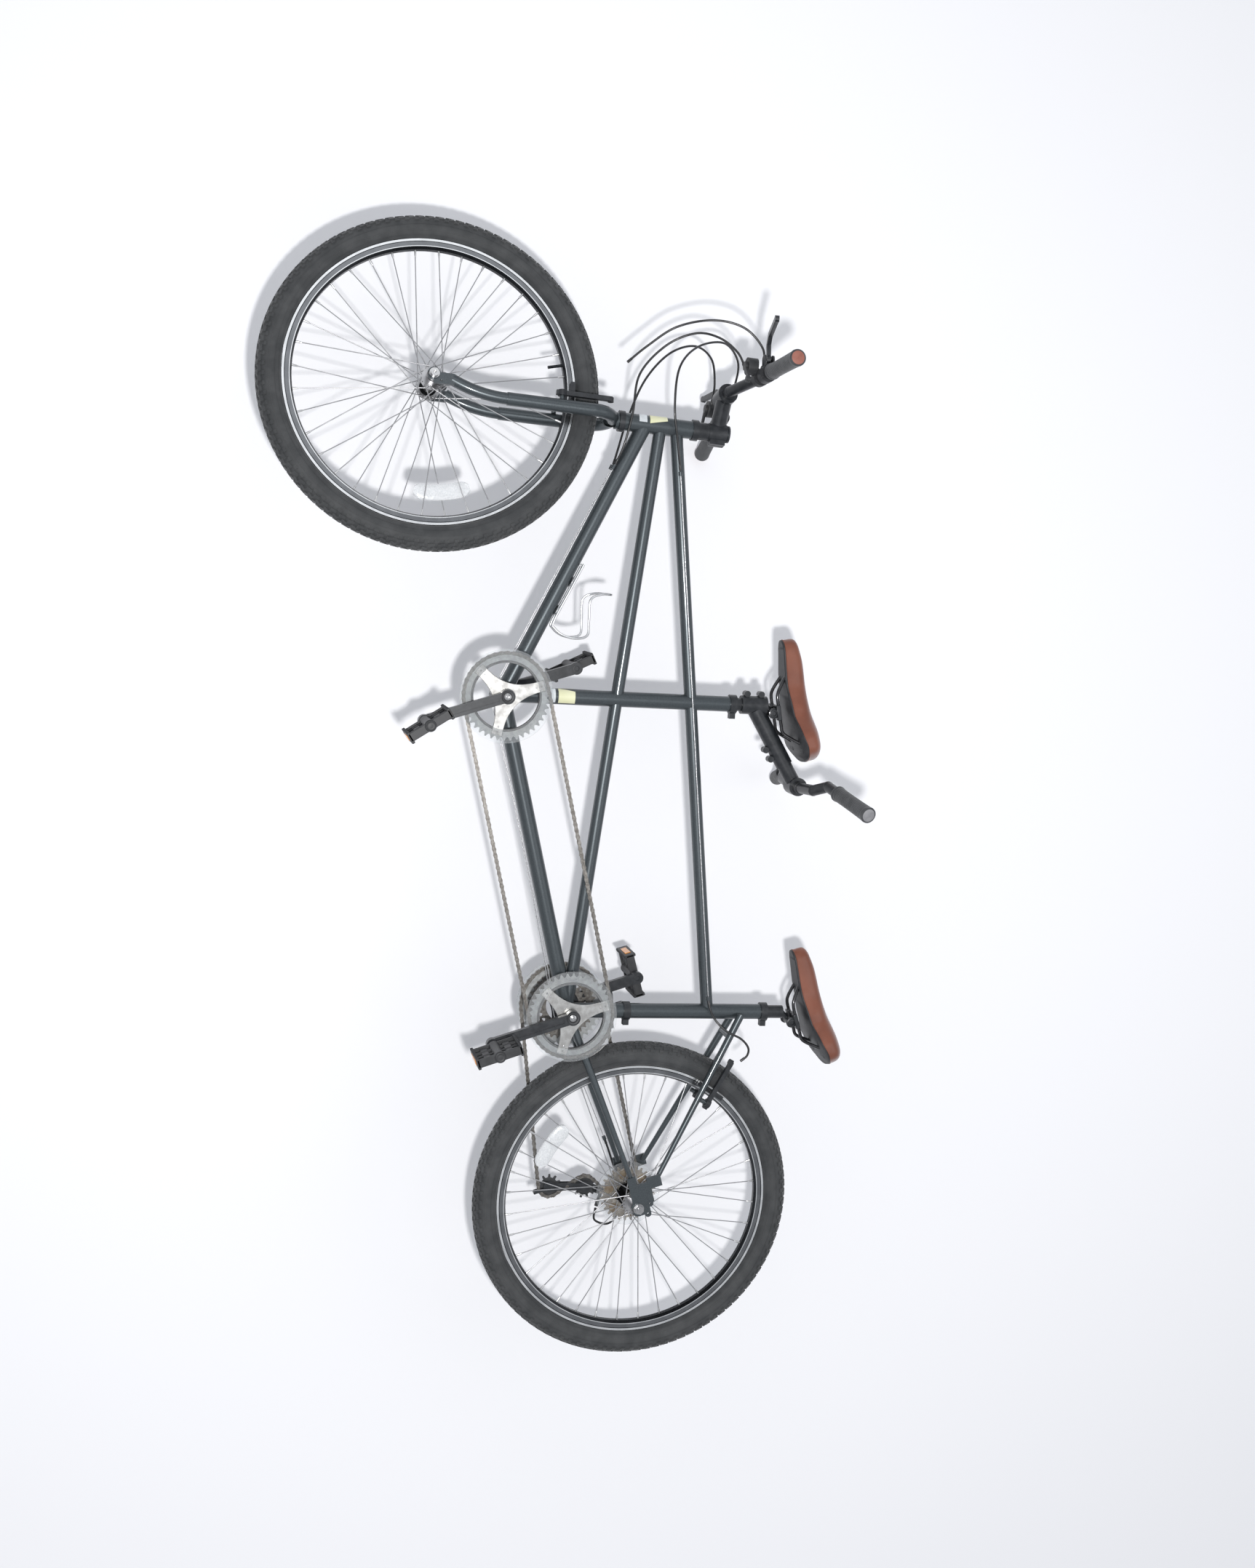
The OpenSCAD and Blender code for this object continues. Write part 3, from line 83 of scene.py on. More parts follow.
# ---------------------------------------------------------------- materials
def material(name, color, rough, metallic=0.0, second=None, mix_scale=30.0, coat=0.0,
             coat_rough=0.1, bump=0.0, bump_scale=400.0, rough_spread=0.08, transmission=0.0,
             sheen=0.0):
    """A procedural finish: two colours mixed by noise, uneven roughness and a fine bump."""
    m = bpy.data.materials.new(name)
    m.use_nodes = True
    tree = m.node_tree
    link = tree.links.new
    shader = tree.nodes["Principled BSDF"]
    place = tree.nodes.new("ShaderNodeTexCoord")
    noise = tree.nodes.new("ShaderNodeTexNoise")
    noise.inputs["Scale"].default_value = mix_scale
    noise.inputs["Detail"].default_value = 6
    link(place.outputs["Object"], noise.inputs["Vector"])
    ramp = tree.nodes.new("ShaderNodeValToRGB")
    ramp.color_ramp.elements[0].position = 0.38
    ramp.color_ramp.elements[1].position = 0.66
    ramp.color_ramp.elements[0].color = (*color, 1)
    ramp.color_ramp.elements[1].color = (*(second or [min(1, c * 1.35 + 0.004) for c in color]), 1)
    link(noise.outputs["Fac"], ramp.inputs["Fac"])
    link(ramp.outputs["Color"], shader.inputs["Base Color"])
    spread = tree.nodes.new("ShaderNodeMapRange")
    spread.inputs["To Min"].default_value = max(0.02, rough - rough_spread)
    spread.inputs["To Max"].default_value = min(1, rough + rough_spread)
    link(noise.outputs["Fac"], spread.inputs["Value"])
    link(spread.outputs["Result"], shader.inputs["Roughness"])
    if bump:
        grain = tree.nodes.new("ShaderNodeTexNoise")
        grain.inputs["Scale"].default_value = bump_scale
        grain.inputs["Detail"].default_value = 3
        link(place.outputs["Object"], grain.inputs["Vector"])
        lift = tree.nodes.new("ShaderNodeBump")
        lift.inputs["Strength"].default_value = bump
        lift.inputs["Distance"].default_value = 0.0006
        link(grain.outputs["Fac"], lift.inputs["Height"])
        link(lift.outputs["Normal"], shader.inputs["Normal"])
    for socket, value in (("Metallic", metallic), ("Coat Weight", coat), ("Coat Roughness", coat_rough),
                          ("Transmission Weight", transmission), ("Sheen Weight", sheen)):
        shader.inputs[socket].default_value = value
    m["ramp"] = ramp.name
    return m


BAND_REACH = 0.4  # the radius at the far end of a band ramp


def banded(m, centre, bands):
    """Colours a finish by distance from a wheel's centre: bands is a list of (radius, colour)."""
    tree = m.node_tree
    link = tree.links.new
    shader = tree.nodes["Principled BSDF"]
    place = tree.nodes.new("ShaderNodeTexCoord")
    away = tree.nodes.new("ShaderNodeVectorMath")
    away.operation = "DISTANCE"
    away.inputs[1].default_value = centre
    link(place.outputs["Object"], away.inputs[0])
    scaled = tree.nodes.new("ShaderNodeMath")
    scaled.operation = "MULTIPLY"
    scaled.inputs[1].default_value = 1 / BAND_REACH
    link(away.outputs["Value"], scaled.inputs[0])
    ramp = tree.nodes.new("ShaderNodeValToRGB")
    ramp.color_ramp.interpolation = "CONSTANT"
    steps = ramp.color_ramp.elements
    for i, (radius, color) in enumerate(bands):
        step = steps[i] if i < 2 else steps.new(radius / BAND_REACH)
        step.position = radius / BAND_REACH
        step.color = (*color, 1)
    link(scaled.outputs["Value"], ramp.inputs["Fac"])
    mix = tree.nodes.new("ShaderNodeMix")
    mix.data_type = "RGBA"
    mix.blend_type = "MULTIPLY"
    mix.inputs[0].default_value = 1.0
    link(tree.nodes[m["ramp"]].outputs["Color"], mix.inputs[6])
    link(ramp.outputs["Color"], mix.inputs[7])
    link(mix.outputs[2], shader.inputs["Base Color"])
    return m


FRAME_GREY = (0.042, 0.051, 0.057)
paint = material("paint_grey_metallic", FRAME_GREY, 0.34, metallic=0.55, second=(0.072, 0.085, 0.093),
                 mix_scale=900, coat=0.35, bump=0.10, bump_scale=1600, rough_spread=0.1)
satin_black = material("black_satin", (0.014, 0.016, 0.019), 0.38, metallic=0.2,
                       second=(0.026, 0.028, 0.032), mix_scale=90, coat=0.12, bump=0.12)
plastic_black = material("black_plastic", (0.016, 0.017, 0.019), 0.5, second=(0.03, 0.031, 0.034),
                         mix_scale=60, bump=0.25, bump_scale=900)
alloy = material("alloy_brushed", (0.62, 0.63, 0.64), 0.3, metallic=1.0, second=(0.74, 0.75, 0.76),
                 mix_scale=60, bump=0.12, bump_scale=700)
alloy_wire = material("alloy_wire", (0.66, 0.67, 0.68), 0.24, metallic=1.0, second=(0.8, 0.8, 0.81),
                      mix_scale=40, bump=0.05)
chrome = material("steel_bright", (0.40, 0.40, 0.41), 0.2, metallic=1.0, second=(0.50, 0.50, 0.50),
                  mix_scale=50)
chain_steel = material("chain_oiled", (0.13, 0.12, 0.11), 0.4, metallic=0.9,
                       second=(0.24, 0.23, 0.215), mix_scale=220, bump=0.1)
cog_steel = material("cog_bronzed", (0.25, 0.19, 0.13), 0.42, metallic=0.9,
                     second=(0.36, 0.31, 0.24), mix_scale=120, bump=0.1)
housing = material("cable_housing_black", (0.010, 0.010, 0.011), 0.35, second=(0.018, 0.018, 0.02),
                   mix_scale=80, coat=0.1)
wire = material("cable_wire_steel", (0.52, 0.52, 0.53), 0.3, metallic=1.0, mix_scale=300,
                bump=0.3, bump_scale=1800)
rubber = material("tyre_rubber_charcoal", (0.026, 0.028, 0.030), 0.72, second=(0.046, 0.048, 0.05),
                  mix_scale=35, bump=0.35, bump_scale=520, sheen=0.15)
grip_rubber = material("grip_rubber_dark", (0.026, 0.028, 0.031), 0.7, second=(0.05, 0.052, 0.056),
                       mix_scale=60, bump=0.4, bump_scale=700, sheen=0.2)
clear = material("clear_plastic", (0.93, 0.95, 0.96), 0.07, second=(0.97, 0.98, 0.98), mix_scale=12,
                 transmission=0.92, rough_spread=0.04)
leather = material("saddle_leather_brown", (0.150, 0.044, 0.022), 0.34, second=(0.205, 0.066, 0.036),
                   mix_scale=16, coat=0.25, coat_rough=0.2, bump=0.28, bump_scale=620)
end_grey = material("end_cap_grey", (0.19, 0.19, 0.2), 0.6, second=(0.24, 0.24, 0.25), mix_scale=80,
                    bump=0.2)
end_terracotta = material("end_cap_terracotta", (0.24, 0.085, 0.06), 0.6,
                          second=(0.3, 0.115, 0.085), mix_scale=80, bump=0.2)
amber = material("reflector_amber", (0.62, 0.21, 0.02), 0.18, second=(0.8, 0.32, 0.04),
                 mix_scale=420, bump=0.5, bump_scale=380, coat=0.4)
prism = material("reflector_clear", (0.72, 0.74, 0.76), 0.16, second=(0.9, 0.91, 0.92),
                 mix_scale=420, bump=0.6, bump_scale=380, transmission=0.35)
decal_pale = material("decal_pale_yellow", (0.66, 0.66, 0.42), 0.45, second=(0.7, 0.7, 0.48),
                      mix_scale=30)
decal_grey = material("decal_pale_grey", (0.52, 0.55, 0.57), 0.45, mix_scale=30)
nipple_steel = material("nipple_steel", (0.55, 0.55, 0.55), 0.3, metallic=1.0, mix_scale=80)

BRIGHT_EDGE = (1.0, 1.0, 1.0)
BRAKE_TRACK = (0.26, 0.265, 0.275)
DARK_BAND = (0.045, 0.048, 0.052)


def rim_finish(name, centre):
    """Bright edge and brake track, with a dark band round the inside."""
    m = material(name, (0.60, 0.61, 0.62), 0.27, metallic=0.95, second=(0.72, 0.73, 0.74), mix_scale=45,
                 bump=0.08, bump_scale=900)
    return banded(m, centre, [(0, DARK_BAND), (0.2703, BRIGHT_EDGE), (0.2714, BRAKE_TRACK),
                              (0.2788, DARK_BAND), (0.2799, BRIGHT_EDGE)])


def hub_finish(name, centre):
    """A dark hub with bright spokes."""
    m = material(name, (0.34, 0.34, 0.35), 0.3, metallic=0.9, second=(0.44, 0.44, 0.45), mix_scale=50)
    return banded(m, centre, [(0, (0.035, 0.037, 0.04)), (0.033, (1.0, 1.0, 1.0))])


FINISHES = {
    paint: ["frame_shells", "lower_tubes", "upper_tubes", "seat_tubes", "rear_stays", "frame_fittings",
            "fork"],
    satin_black: ["bearing_cups", "tube_clamps", "rear_derailleur", "derailleur_cage",
                  "front_derailleur", "front_stem", "front_handlebar", "left_brake_lever",
                  "right_brake_lever", "quick_release_lever", "front_brake_arm_left",
                  "front_brake_arm_right", "rear_brake_arm_left", "rear_brake_arm_right",
                  "front_crank_arms", "rear_crank_arms", "front_seatpost", "rear_seatpost",
                  "stoker_stem", "stoker_extension", "stoker_bar"],
    plastic_black: ["guide_pulley", "tension_pulley", "lever_brackets", "left_shift_lever",
                    "right_shift_lever", "front_left_pedal", "front_right_pedal", "rear_left_pedal",
                    "rear_right_pedal"],
    alloy: ["front_timing_ring", "rear_chainrings"],
    alloy_wire: ["bottle_cage"],
    chain_steel: ["timing_chain", "drive_chain"],
    cog_steel: ["freewheel"],
    chrome: ["rear_axle", "front_skewer"],
    clear: ["front_ring_guard", "rear_ring_guards", "spoke_protector"],
    housing: ["steering_cables"],
    wire: ["frame_cables"],
    rubber: ["front_tyre", "rear_tyre"],
    grip_rubber: ["front_grips", "stoker_grips"],
    leather: ["front_saddle", "rear_saddle"],
    rim_finish("rim_front", FRONT_AXLE): ["front_rim"],
    rim_finish("rim_rear", Vector((0, 0, 0))): ["rear_rim"],
    hub_finish("hub_front", FRONT_AXLE): ["front_hub"],
    hub_finish("hub_rear", Vector((0, 0, 0))): ["rear_hub"],
}
for finish, names in FINISHES.items():
    for name in names:
        nodes[name].data.materials.clear()
        nodes[name].data.materials.append(finish)


# ---------------------------------------------------------------- mesh helpers
def added(name, data):
    """A new object in the scene."""
    obj = bpy.data.objects.new(name, data)
    bpy.context.scene.collection.objects.link(obj)
    return obj


def piece(name, verts, faces, finish, body, slot, stands_for=(), smooth=True):
    """A mesh in the row frame that rides on a body."""
    mesh = bpy.data.meshes.new(name)
    mesh.from_pydata([tuple(v) for v in verts], [], faces)
    bm = bmesh.new()
    bm.from_mesh(mesh)
    bmesh.ops.recalc_face_normals(bm, faces=bm.faces)
    bm.to_mesh(mesh)
    bm.free()
    mesh.materials.append(finish)
    obj = added(name, mesh)
    if smooth:
        mesh.polygons.foreach_set("use_smooth", [True] * len(mesh.polygons))
        mesh.set_sharp_from_angle(angle=math.radians(40))
    if body:
        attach(obj, body)
    if stands_for:
        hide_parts(*stands_for)
    return obj


def prism_faces(n):
    """Two n-sided ends and the sides between them."""
    return ([tuple(range(n)), tuple(range(2 * n - 1, n - 1, -1))]
            + [(k, (k + 1) % n, n + (k + 1) % n, n + k) for k in range(n)])


def rings(steps, n):
    """Faces between rings of n points each, over a number of steps."""
    return [(i * n + k, i * n + (k + 1) % n, (i + 1) * n + (k + 1) % n, (i + 1) * n + k)
            for i in range(steps) for k in range(n)]


def polar(t, a, b):
    """The unit vector at angle t between two axes."""
    return math.cos(t) * a + math.sin(t) * b


def basis(direction):
    """Two unit vectors across a direction."""
    u = direction.normalized()
    ref = Vector((0, 0, 1)) if abs(u.y) > 0.8 else Vector((0, 1, 0))
    a = ref.cross(u).normalized()
    return a, u.cross(a)


def spline(points, steps):
    """Points on a smooth curve through a route."""
    p = [Vector(q) for q in points]
    out = []
    for i in range(len(p) - 1):
        a, b, c, d = p[max(i - 1, 0)], p[i], p[i + 1], p[min(i + 2, len(p) - 1)]
        for k in range(steps):
            t = k / steps
            out.append(0.5 * (2 * b + (c - a) * t + (2 * a - 5 * b + 4 * c - d) * t * t
                              + (3 * b - a - 3 * c + d) * t ** 3))
    return out + [p[-1]]


def tube(path, radius, sides=12):
    """Vertices and faces of a closed round tube; radius is a number or one number for each point."""
    radii = radius if isinstance(radius, list) else [radius] * len(path)
    verts = []
    across = None
    for i, q in enumerate(path):
        way = (path[min(i + 1, len(path) - 1)] - path[max(i - 1, 0)]).normalized()
        if across is None:
            across, _ = basis(way)
        across = (across - across.dot(way) * way).normalized()
        other = way.cross(across)
        for k in range(sides):
            t = 2 * math.pi * k / sides
            verts.append(q + radii[i] * polar(t, across, other))
    last = (len(path) - 1) * sides
    return verts, rings(len(path) - 1, sides) + [tuple(range(sides))[::-1], tuple(range(last, last + sides))]


def lathe(profile, centre, axis, segments, closed=False):
    """Turns (radius, along) points about an axis through centre."""
    a, b = basis(axis)
    u = axis.normalized()
    verts, faces = [], []
    n = len(profile)
    for s in range(segments):
        t = 2 * math.pi * s / segments
        out = polar(t, a, b)
        verts += [centre + r * out + h * u for r, h in profile]
    for s in range(segments):
        e = (s + 1) % segments
        for k in range(n if closed else n - 1):
            m = (k + 1) % n
            faces.append((s * n + k, s * n + m, e * n + m, e * n + k))
    return verts, faces


def join(parts):
    """Several (vertices, faces) as one."""
    verts, faces = [], []
    for v, f in parts:
        base = len(verts)
        verts += list(v)
        faces += [tuple(i + base for i in g) for g in f]
    return verts, faces


def plug(profile, centre, axis, segments=32):
    """A turned solid whose profile starts and ends on the axis: its two ends are closed by fans."""
    a, b = basis(axis)
    u = axis.normalized()
    rings = profile[1:-1]
    verts = [centre + profile[0][1] * u]
    for r, h in rings:
        for s in range(segments):
            t = 2 * math.pi * s / segments
            verts.append(centre + h * u + r * polar(t, a, b))
    verts.append(centre + profile[-1][1] * u)
    faces = [(0, 1 + s, 1 + (s + 1) % segments) for s in range(segments)]
    for i in range(len(rings) - 1):
        for s in range(segments):
            e = (s + 1) % segments
            base, above = 1 + i * segments, 1 + (i + 1) * segments
            faces.append((base + s, above + s, above + e, base + e))
    last = 1 + (len(rings) - 1) * segments
    faces += [(len(verts) - 1, last + (s + 1) % segments, last + s) for s in range(segments)]
    return verts, faces


# ---------------------------------------------------------------- tyres with their tread
CARCASS = TYRE_HALF - 0.0028
KNOBS = 104
# rows of tread blocks: (angle round the section, half across, half along, turn, offset)
ROWS = [(-8, 0.0042, 0.0056, 18, 0.0), (8, 0.0042, 0.0056, -18, 0.5), (-25, 0.0036, 0.0050, -24, 0.3),
        (25, 0.0036, 0.0050, 24, 0.8), (-43, 0.0034, 0.0062, 8, 0.0), (43, 0.0034, 0.0062, -8, 0.5),
        (-60, 0.0026, 0.0044, 0, 0.5), (60, 0.0026, 0.0044, 0, 0.0)]


def tyre(name, centre, axis, body, node):
    a, b = basis(axis)
    u = axis.normalized()

    def at(theta, phi, rho):
        out = polar(theta, a, b)
        return centre + (TYRE_MID + rho * math.cos(phi)) * out + rho * math.sin(phi) * u

    bead = math.radians(153)
    outer = [(TYRE_MID + CARCASS * math.cos(t), CARCASS * math.sin(t))
             for t in [bead * (k / 22) for k in range(-22, 23)]]
    inner_r = CARCASS - 0.0022
    inner = [(TYRE_MID + inner_r * math.cos(t), inner_r * math.sin(t))
             for t in [bead * (k / 14) for k in range(14, -15, -1)]]
    parts = [lathe(outer + inner, centre, axis, 180, closed=True)]
    # raised ribs along the sidewall
    for side in (-1, 1):
        for angle in (84, 112, 134):
            ring = []
            for dr, dp in ((-0.0006, -1.6), (0.0007, -0.8), (0.0007, 0.8), (-0.0006, 1.6)):
                t = math.radians(side * (angle + dp))
                rho = CARCASS + dr
                ring.append((TYRE_MID + rho * math.cos(t), rho * math.sin(t)))
            parts.append(lathe(ring, centre, axis, 180, closed=True))
    knob = ((0, 1, 2, 3), (4, 5, 6, 7), (0, 1, 5, 4), (1, 2, 6, 5), (2, 3, 7, 6), (3, 0, 4, 7))
    for angle, half_across, half_along, turn, offset in ROWS:
        phi = math.radians(angle)
        c, s = math.cos(math.radians(turn)), math.sin(math.radians(turn))
        reach = TYRE_MID + TYRE_HALF * math.cos(phi)
        for i in range(KNOBS):
            theta = 2 * math.pi * (i + offset) / KNOBS
            verts = []
            for rho, grow in ((CARCASS - 0.0006, 1.12), (TYRE_HALF - 0.0001, 0.88)):
                for du, dv in ((-1, -1), (1, -1), (1, 1), (-1, 1)):
                    x = du * half_across * grow
                    y = dv * half_along * grow
                    verts.append(at(theta + (c * y + s * x) / reach, phi + (c * x - s * y) / TYRE_HALF,
                                    rho))
            parts.append((verts, knob))
    verts, faces = join(parts)
    return piece(name, verts, faces, rubber, body, "tyre_rubber", [node])


tyre("rear_tyre_tread", Vector((0, 0, 0)), Vector((0, 1, 0)), "rear_wheel", "rear_tyre")
tyre("front_tyre_tread", FRONT_AXLE, STEER_Y, "front_wheel", "front_tyre")


# ---------------------------------------------------------------- spoke nipples and reflectors
def wheel_axes(front):
    """Centre and the wheel's own axes at zero angle, sideways and at a quarter turn."""
    if front:
        return FRONT_AXLE, STEER_X, STEER_Y, HEAD_UP
    return Vector((0, 0, 0)), Vector((1, 0, 0)), Vector((0, 1, 0)), Vector((0, 0, 1))


def nipples(name, front, body):
    centre, ex, ey, ez = wheel_axes(front)
    left, right = (0.031, -0.031) if front else (0.034, -0.020)
    parts = []
    for j in range(SPOKES):
        t = 2 * math.pi * j / SPOKES
        lead = 1 if (j // 2) % 2 == 0 else -1
        side = 1 if j % 2 == 0 else -1
        hub_t = t + lead * math.radians(2160 / SPOKES)
        flange = left if side > 0 else right
        rim = centre + RIM_IN * polar(t, ex, ez) + side * (1 + lead * 0.6) / 1000 * ey
        hub = centre + 0.022 * polar(hub_t, ex, ez) + flange * ey
        way = (hub - rim).normalized()
        parts.append(tube([rim, rim + 0.009 * way, rim + 0.0125 * way], [0.0022, 0.0021, 0.0014], 10))
    verts, faces = join(parts)
    return piece(name, verts, faces, nipple_steel, body, "steel")


nipples("front_spoke_nipples", True, "front_wheel")
nipples("rear_spoke_nipples", False, "rear_wheel")


def spoke_reflector(name, front, body, angle, span, r0, r1):
    """A curved clear reflector held between the spokes, with rounded ends."""
    centre, ex, ey, ez = wheel_axes(front)
    verts = []
    cols = 22
    for i in range(cols + 1):
        f = 2 * i / cols - 1
        t = angle + span / 2 * f
        taper = (1 - abs(f) ** 8 * 0.55)
        mid, half = (r0 + r1) / 2, (r1 - r0) / 2 * taper
        out = polar(t, ex, ez)
        for r, y in ((mid - half, -0.0035), (mid + half, -0.0035), (mid + half, 0.0012),
                     (mid + half * 0.8, 0.0035), (mid - half * 0.8, 0.0035), (mid - half, 0.0012)):
            verts.append(centre + r * out + y * ey)
    faces = rings(cols, 6) + [tuple(range(6)), tuple(cols * 6 + k for k in range(5, -1, -1))]
    return piece(name, verts, faces, prism, body, "clear_plastic")


spoke_reflector("front_wheel_reflector", True, "front_wheel", math.radians(170.5), math.radians(29),
                0.202, 0.234)
spoke_reflector("rear_wheel_reflector", False, "rear_wheel", math.radians(-40.3), math.radians(27),
                0.194, 0.226)


# ---------------------------------------------------------------- chains, link by link
def belt(circles):
    """A closed path round (x, z, radius, sense) circles: a list of evenly spaced link joints."""
    legs = []
    n = len(circles)
    for i in range(n):
        x1, z1, r1, s1 = circles[i]
        x2, z2, r2, s2 = circles[(i + 1) % n]
        gap = math.hypot(x2 - x1, z2 - z1)
        way = math.atan2(z2 - z1, x2 - x1) - math.asin((s2 * r2 - s1 * r1) / gap)
        left = (-math.sin(way), math.cos(way))
        legs.append(((x1 - s1 * r1 * left[0], z1 - s1 * r1 * left[1]),
                     (x2 - s2 * r2 * left[0], z2 - s2 * r2 * left[1])))
    path = []
    for i in range(n):
        x, z, r, s = circles[i]
        start, end = legs[i - 1][1], legs[i][0]
        a0 = math.atan2(start[1] - z, start[0] - x)
        a1 = math.atan2(end[1] - z, end[0] - x)
        turn = (s * (a1 - a0)) % (2 * math.pi)
        steps = max(2, int(turn * r / 0.001))
        path += [(x + r * math.cos(a0 + s * turn * k / steps), z + r * math.sin(a0 + s * turn * k / steps))
                 for k in range(steps + 1)]
    path.append(path[0])
    lengths = [0.0]
    for p, q in zip(path, path[1:]):
        lengths.append(lengths[-1] + math.dist(p, q))
    links = 2 * round(lengths[-1] / PITCH / 2)
    joints, k = [], 0
    for i in range(links):
        want = lengths[-1] * i / links
        while lengths[k + 1] < want:
            k += 1
        f = (want - lengths[k]) / (lengths[k + 1] - lengths[k])
        p, q = path[k], path[k + 1]
        joints.append((p[0] + f * (q[0] - p[0]), p[1] + f * (q[1] - p[1])))
    return joints


def link_plate(p, q, y, thick, radius, waist):
    """A figure-of-eight side plate from p to q."""
    mid = ((p[0] + q[0]) / 2, (p[1] + q[1]) / 2)
    half = math.dist(p, q) / 2
    c, s = (q[0] - p[0]) / (2 * half), (q[1] - p[1]) / (2 * half)
    outline = []
    for sign in (1, -1):
        for k in range(-3, 4):
            t = math.radians(k * 40)
            outline.append((sign * (half + radius * math.cos(t)), sign * radius * math.sin(t)))
        outline.append((0, sign * waist))
    ring = [(mid[0] + c * u - s * v, mid[1] + s * u + c * v) for u, v in outline]
    verts = [Vector((x, h, z)) for h in (y - thick / 2, y + thick / 2) for x, z in ring]
    return verts, prism_faces(len(ring))


def chain_links(joints, y, first, count):
    """Plates, rollers and pins from joint number first on."""
    parts = []
    n = len(joints)
    for i in range(first, first + count):
        p, q = joints[i % n], joints[(i + 1) % n]
        gap = 0.0031 if i % 2 else 0.0021
        for side in (-1, 1):
            parts.append(link_plate(p, q, y + side * gap, 0.0009, 0.0041, 0.0028))
        mid = Vector((p[0], y, p[1]))
        across = Vector((0, 1, 0))
        parts.append(tube([mid - 0.0016 * across, mid + 0.0016 * across], 0.0038, 10))
        parts.append(tube([mid - 0.0039 * across, mid + 0.0039 * across], 0.0018, 8))
    return join(parts)


RING_R, COG_R, PULLEY_R = gear_r(42), gear_r(16), gear_r(11)
timing = belt([(FRONT_BB.x, FRONT_BB.z, RING_R, 1), (REAR_BB.x, REAR_BB.z, RING_R, 1)])
piece("timing_chain_links", *chain_links(timing, TIMING_Y, 0, len(timing)), chain_steel, "frame",
      "chain_steel", ["timing_chain"])
drive = belt([(REAR_BB.x, REAR_BB.z, RING_R, 1), (0, 0, COG_R, 1), (*CHAIN_GUIDE, PULLEY_R, -1),
              (*CHAIN_TENSION, PULLEY_R, 1)])


def near(point, places):
    return min(math.dist(point, q) for q in places)


# the runs of the drive chain: on the ring and sprocket, round the pulleys, and the lower run
ON_PULLEY = PULLEY_R + 0.0006
around = [i for i, q in enumerate(drive) if near(q, (CHAIN_GUIDE, CHAIN_TENSION)) < ON_PULLEY]
arm_first, arm_last = min(around), max(around)
piece("drive_chain_upper", *chain_links(drive, DRIVE_Y, 0, arm_first), chain_steel, "frame",
      "chain_steel", ["drive_chain"])
piece("drive_chain_on_pulleys", *chain_links(drive, DRIVE_Y, arm_first, arm_last - arm_first), chain_steel,
      "derailleur_arm", "chain_steel")
lower_run = piece("drive_chain_lower", *chain_links(drive, DRIVE_Y, arm_last, len(drive) - arm_last),
                  chain_steel, None, "chain_steel")
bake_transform(lower_run)


# ---------------------------------------------------------------- rings, spiders and crank details
def prism_solid(outline, centre, y0, y1):
    """An (x, z) outline pushed from y0 to y1."""
    return [centre + Vector((x, y, z)) for y in (y0, y1) for x, z in outline], prism_faces(len(outline))


def bevel(obj, width, segments=2):
    soft = obj.modifiers.new("bevel", "BEVEL")
    soft.width = width
    soft.segments = segments
    soft.limit_method = "ANGLE"
    soft.angle_limit = math.radians(50)
    soft.harden_normals = False


def toothed_ring(teeth, centre, y, inner, thick):
    """A chainring: teeth round the outside, a plain hole inside."""
    pitch_r = gear_r(teeth)
    rim = []
    for i in range(teeth):
        for f, r in ((-0.42, pitch_r - 0.0036), (-0.24, pitch_r - 0.001), (-0.10, pitch_r + 0.0036),
                     (0.10, pitch_r + 0.0036), (0.24, pitch_r - 0.001), (0.42, pitch_r - 0.0036)):
            t = 2 * math.pi * (i + f) / teeth
            rim.append((r * math.cos(t), r * math.sin(t), inner * math.cos(t), inner * math.sin(t)))
    n = len(rim)
    verts = []
    for h in (y - thick / 2, y + thick / 2):
        verts += [centre + Vector((x, h, z)) for x, z, _, _ in rim]
        verts += [centre + Vector((x, h, z)) for _, _, x, z in rim]
    faces = []
    for k in range(n):
        m = (k + 1) % n
        faces += [(k, m, n + m, n + k), (2 * n + k, 3 * n + k, 3 * n + m, 2 * n + m),
                  (k, 2 * n + k, 2 * n + m, m), (n + k, n + m, 3 * n + m, 3 * n + k)]
    return verts, faces


def star(reach, tip_half, hollow, start):
    """A three-armed spider with hollow curves between its arms."""
    points = []
    for k in range(3):
        arm = math.radians(start + 120 * k)
        corner = math.asin(tip_half / reach)
        tips = [(reach * math.cos(arm + s * corner), reach * math.sin(arm + s * corner)) for s in (-1, 1)]
        points += [tips[0], tips[1]]
        nxt = arm + math.radians(120)
        far = (reach * math.cos(nxt - corner), reach * math.sin(nxt - corner))
        bisector = arm + math.radians(60)
        pull = (hollow * math.cos(bisector), hollow * math.sin(bisector))
        for i in range(1, 16):
            t = i / 16
            points.append(tuple((1 - t) ** 2 * tips[1][c] + 2 * t * (1 - t) * pull[c] + t * t * far[c]
                                for c in (0, 1)))
    return points


SPIDER_AT = 89
ACROSS = Vector((0, 1, 0))
ring_grey = material("ring_zinc_grey", (0.33, 0.34, 0.34), 0.38, metallic=0.9, second=(0.46, 0.47, 0.47),
                     mix_scale=120, bump=0.12)
spider_finish = material("spider_polished", (0.52, 0.51, 0.49), 0.24, metallic=1.0,
                         second=(0.66, 0.66, 0.64), mix_scale=70, bump=0.08, bump_scale=300)


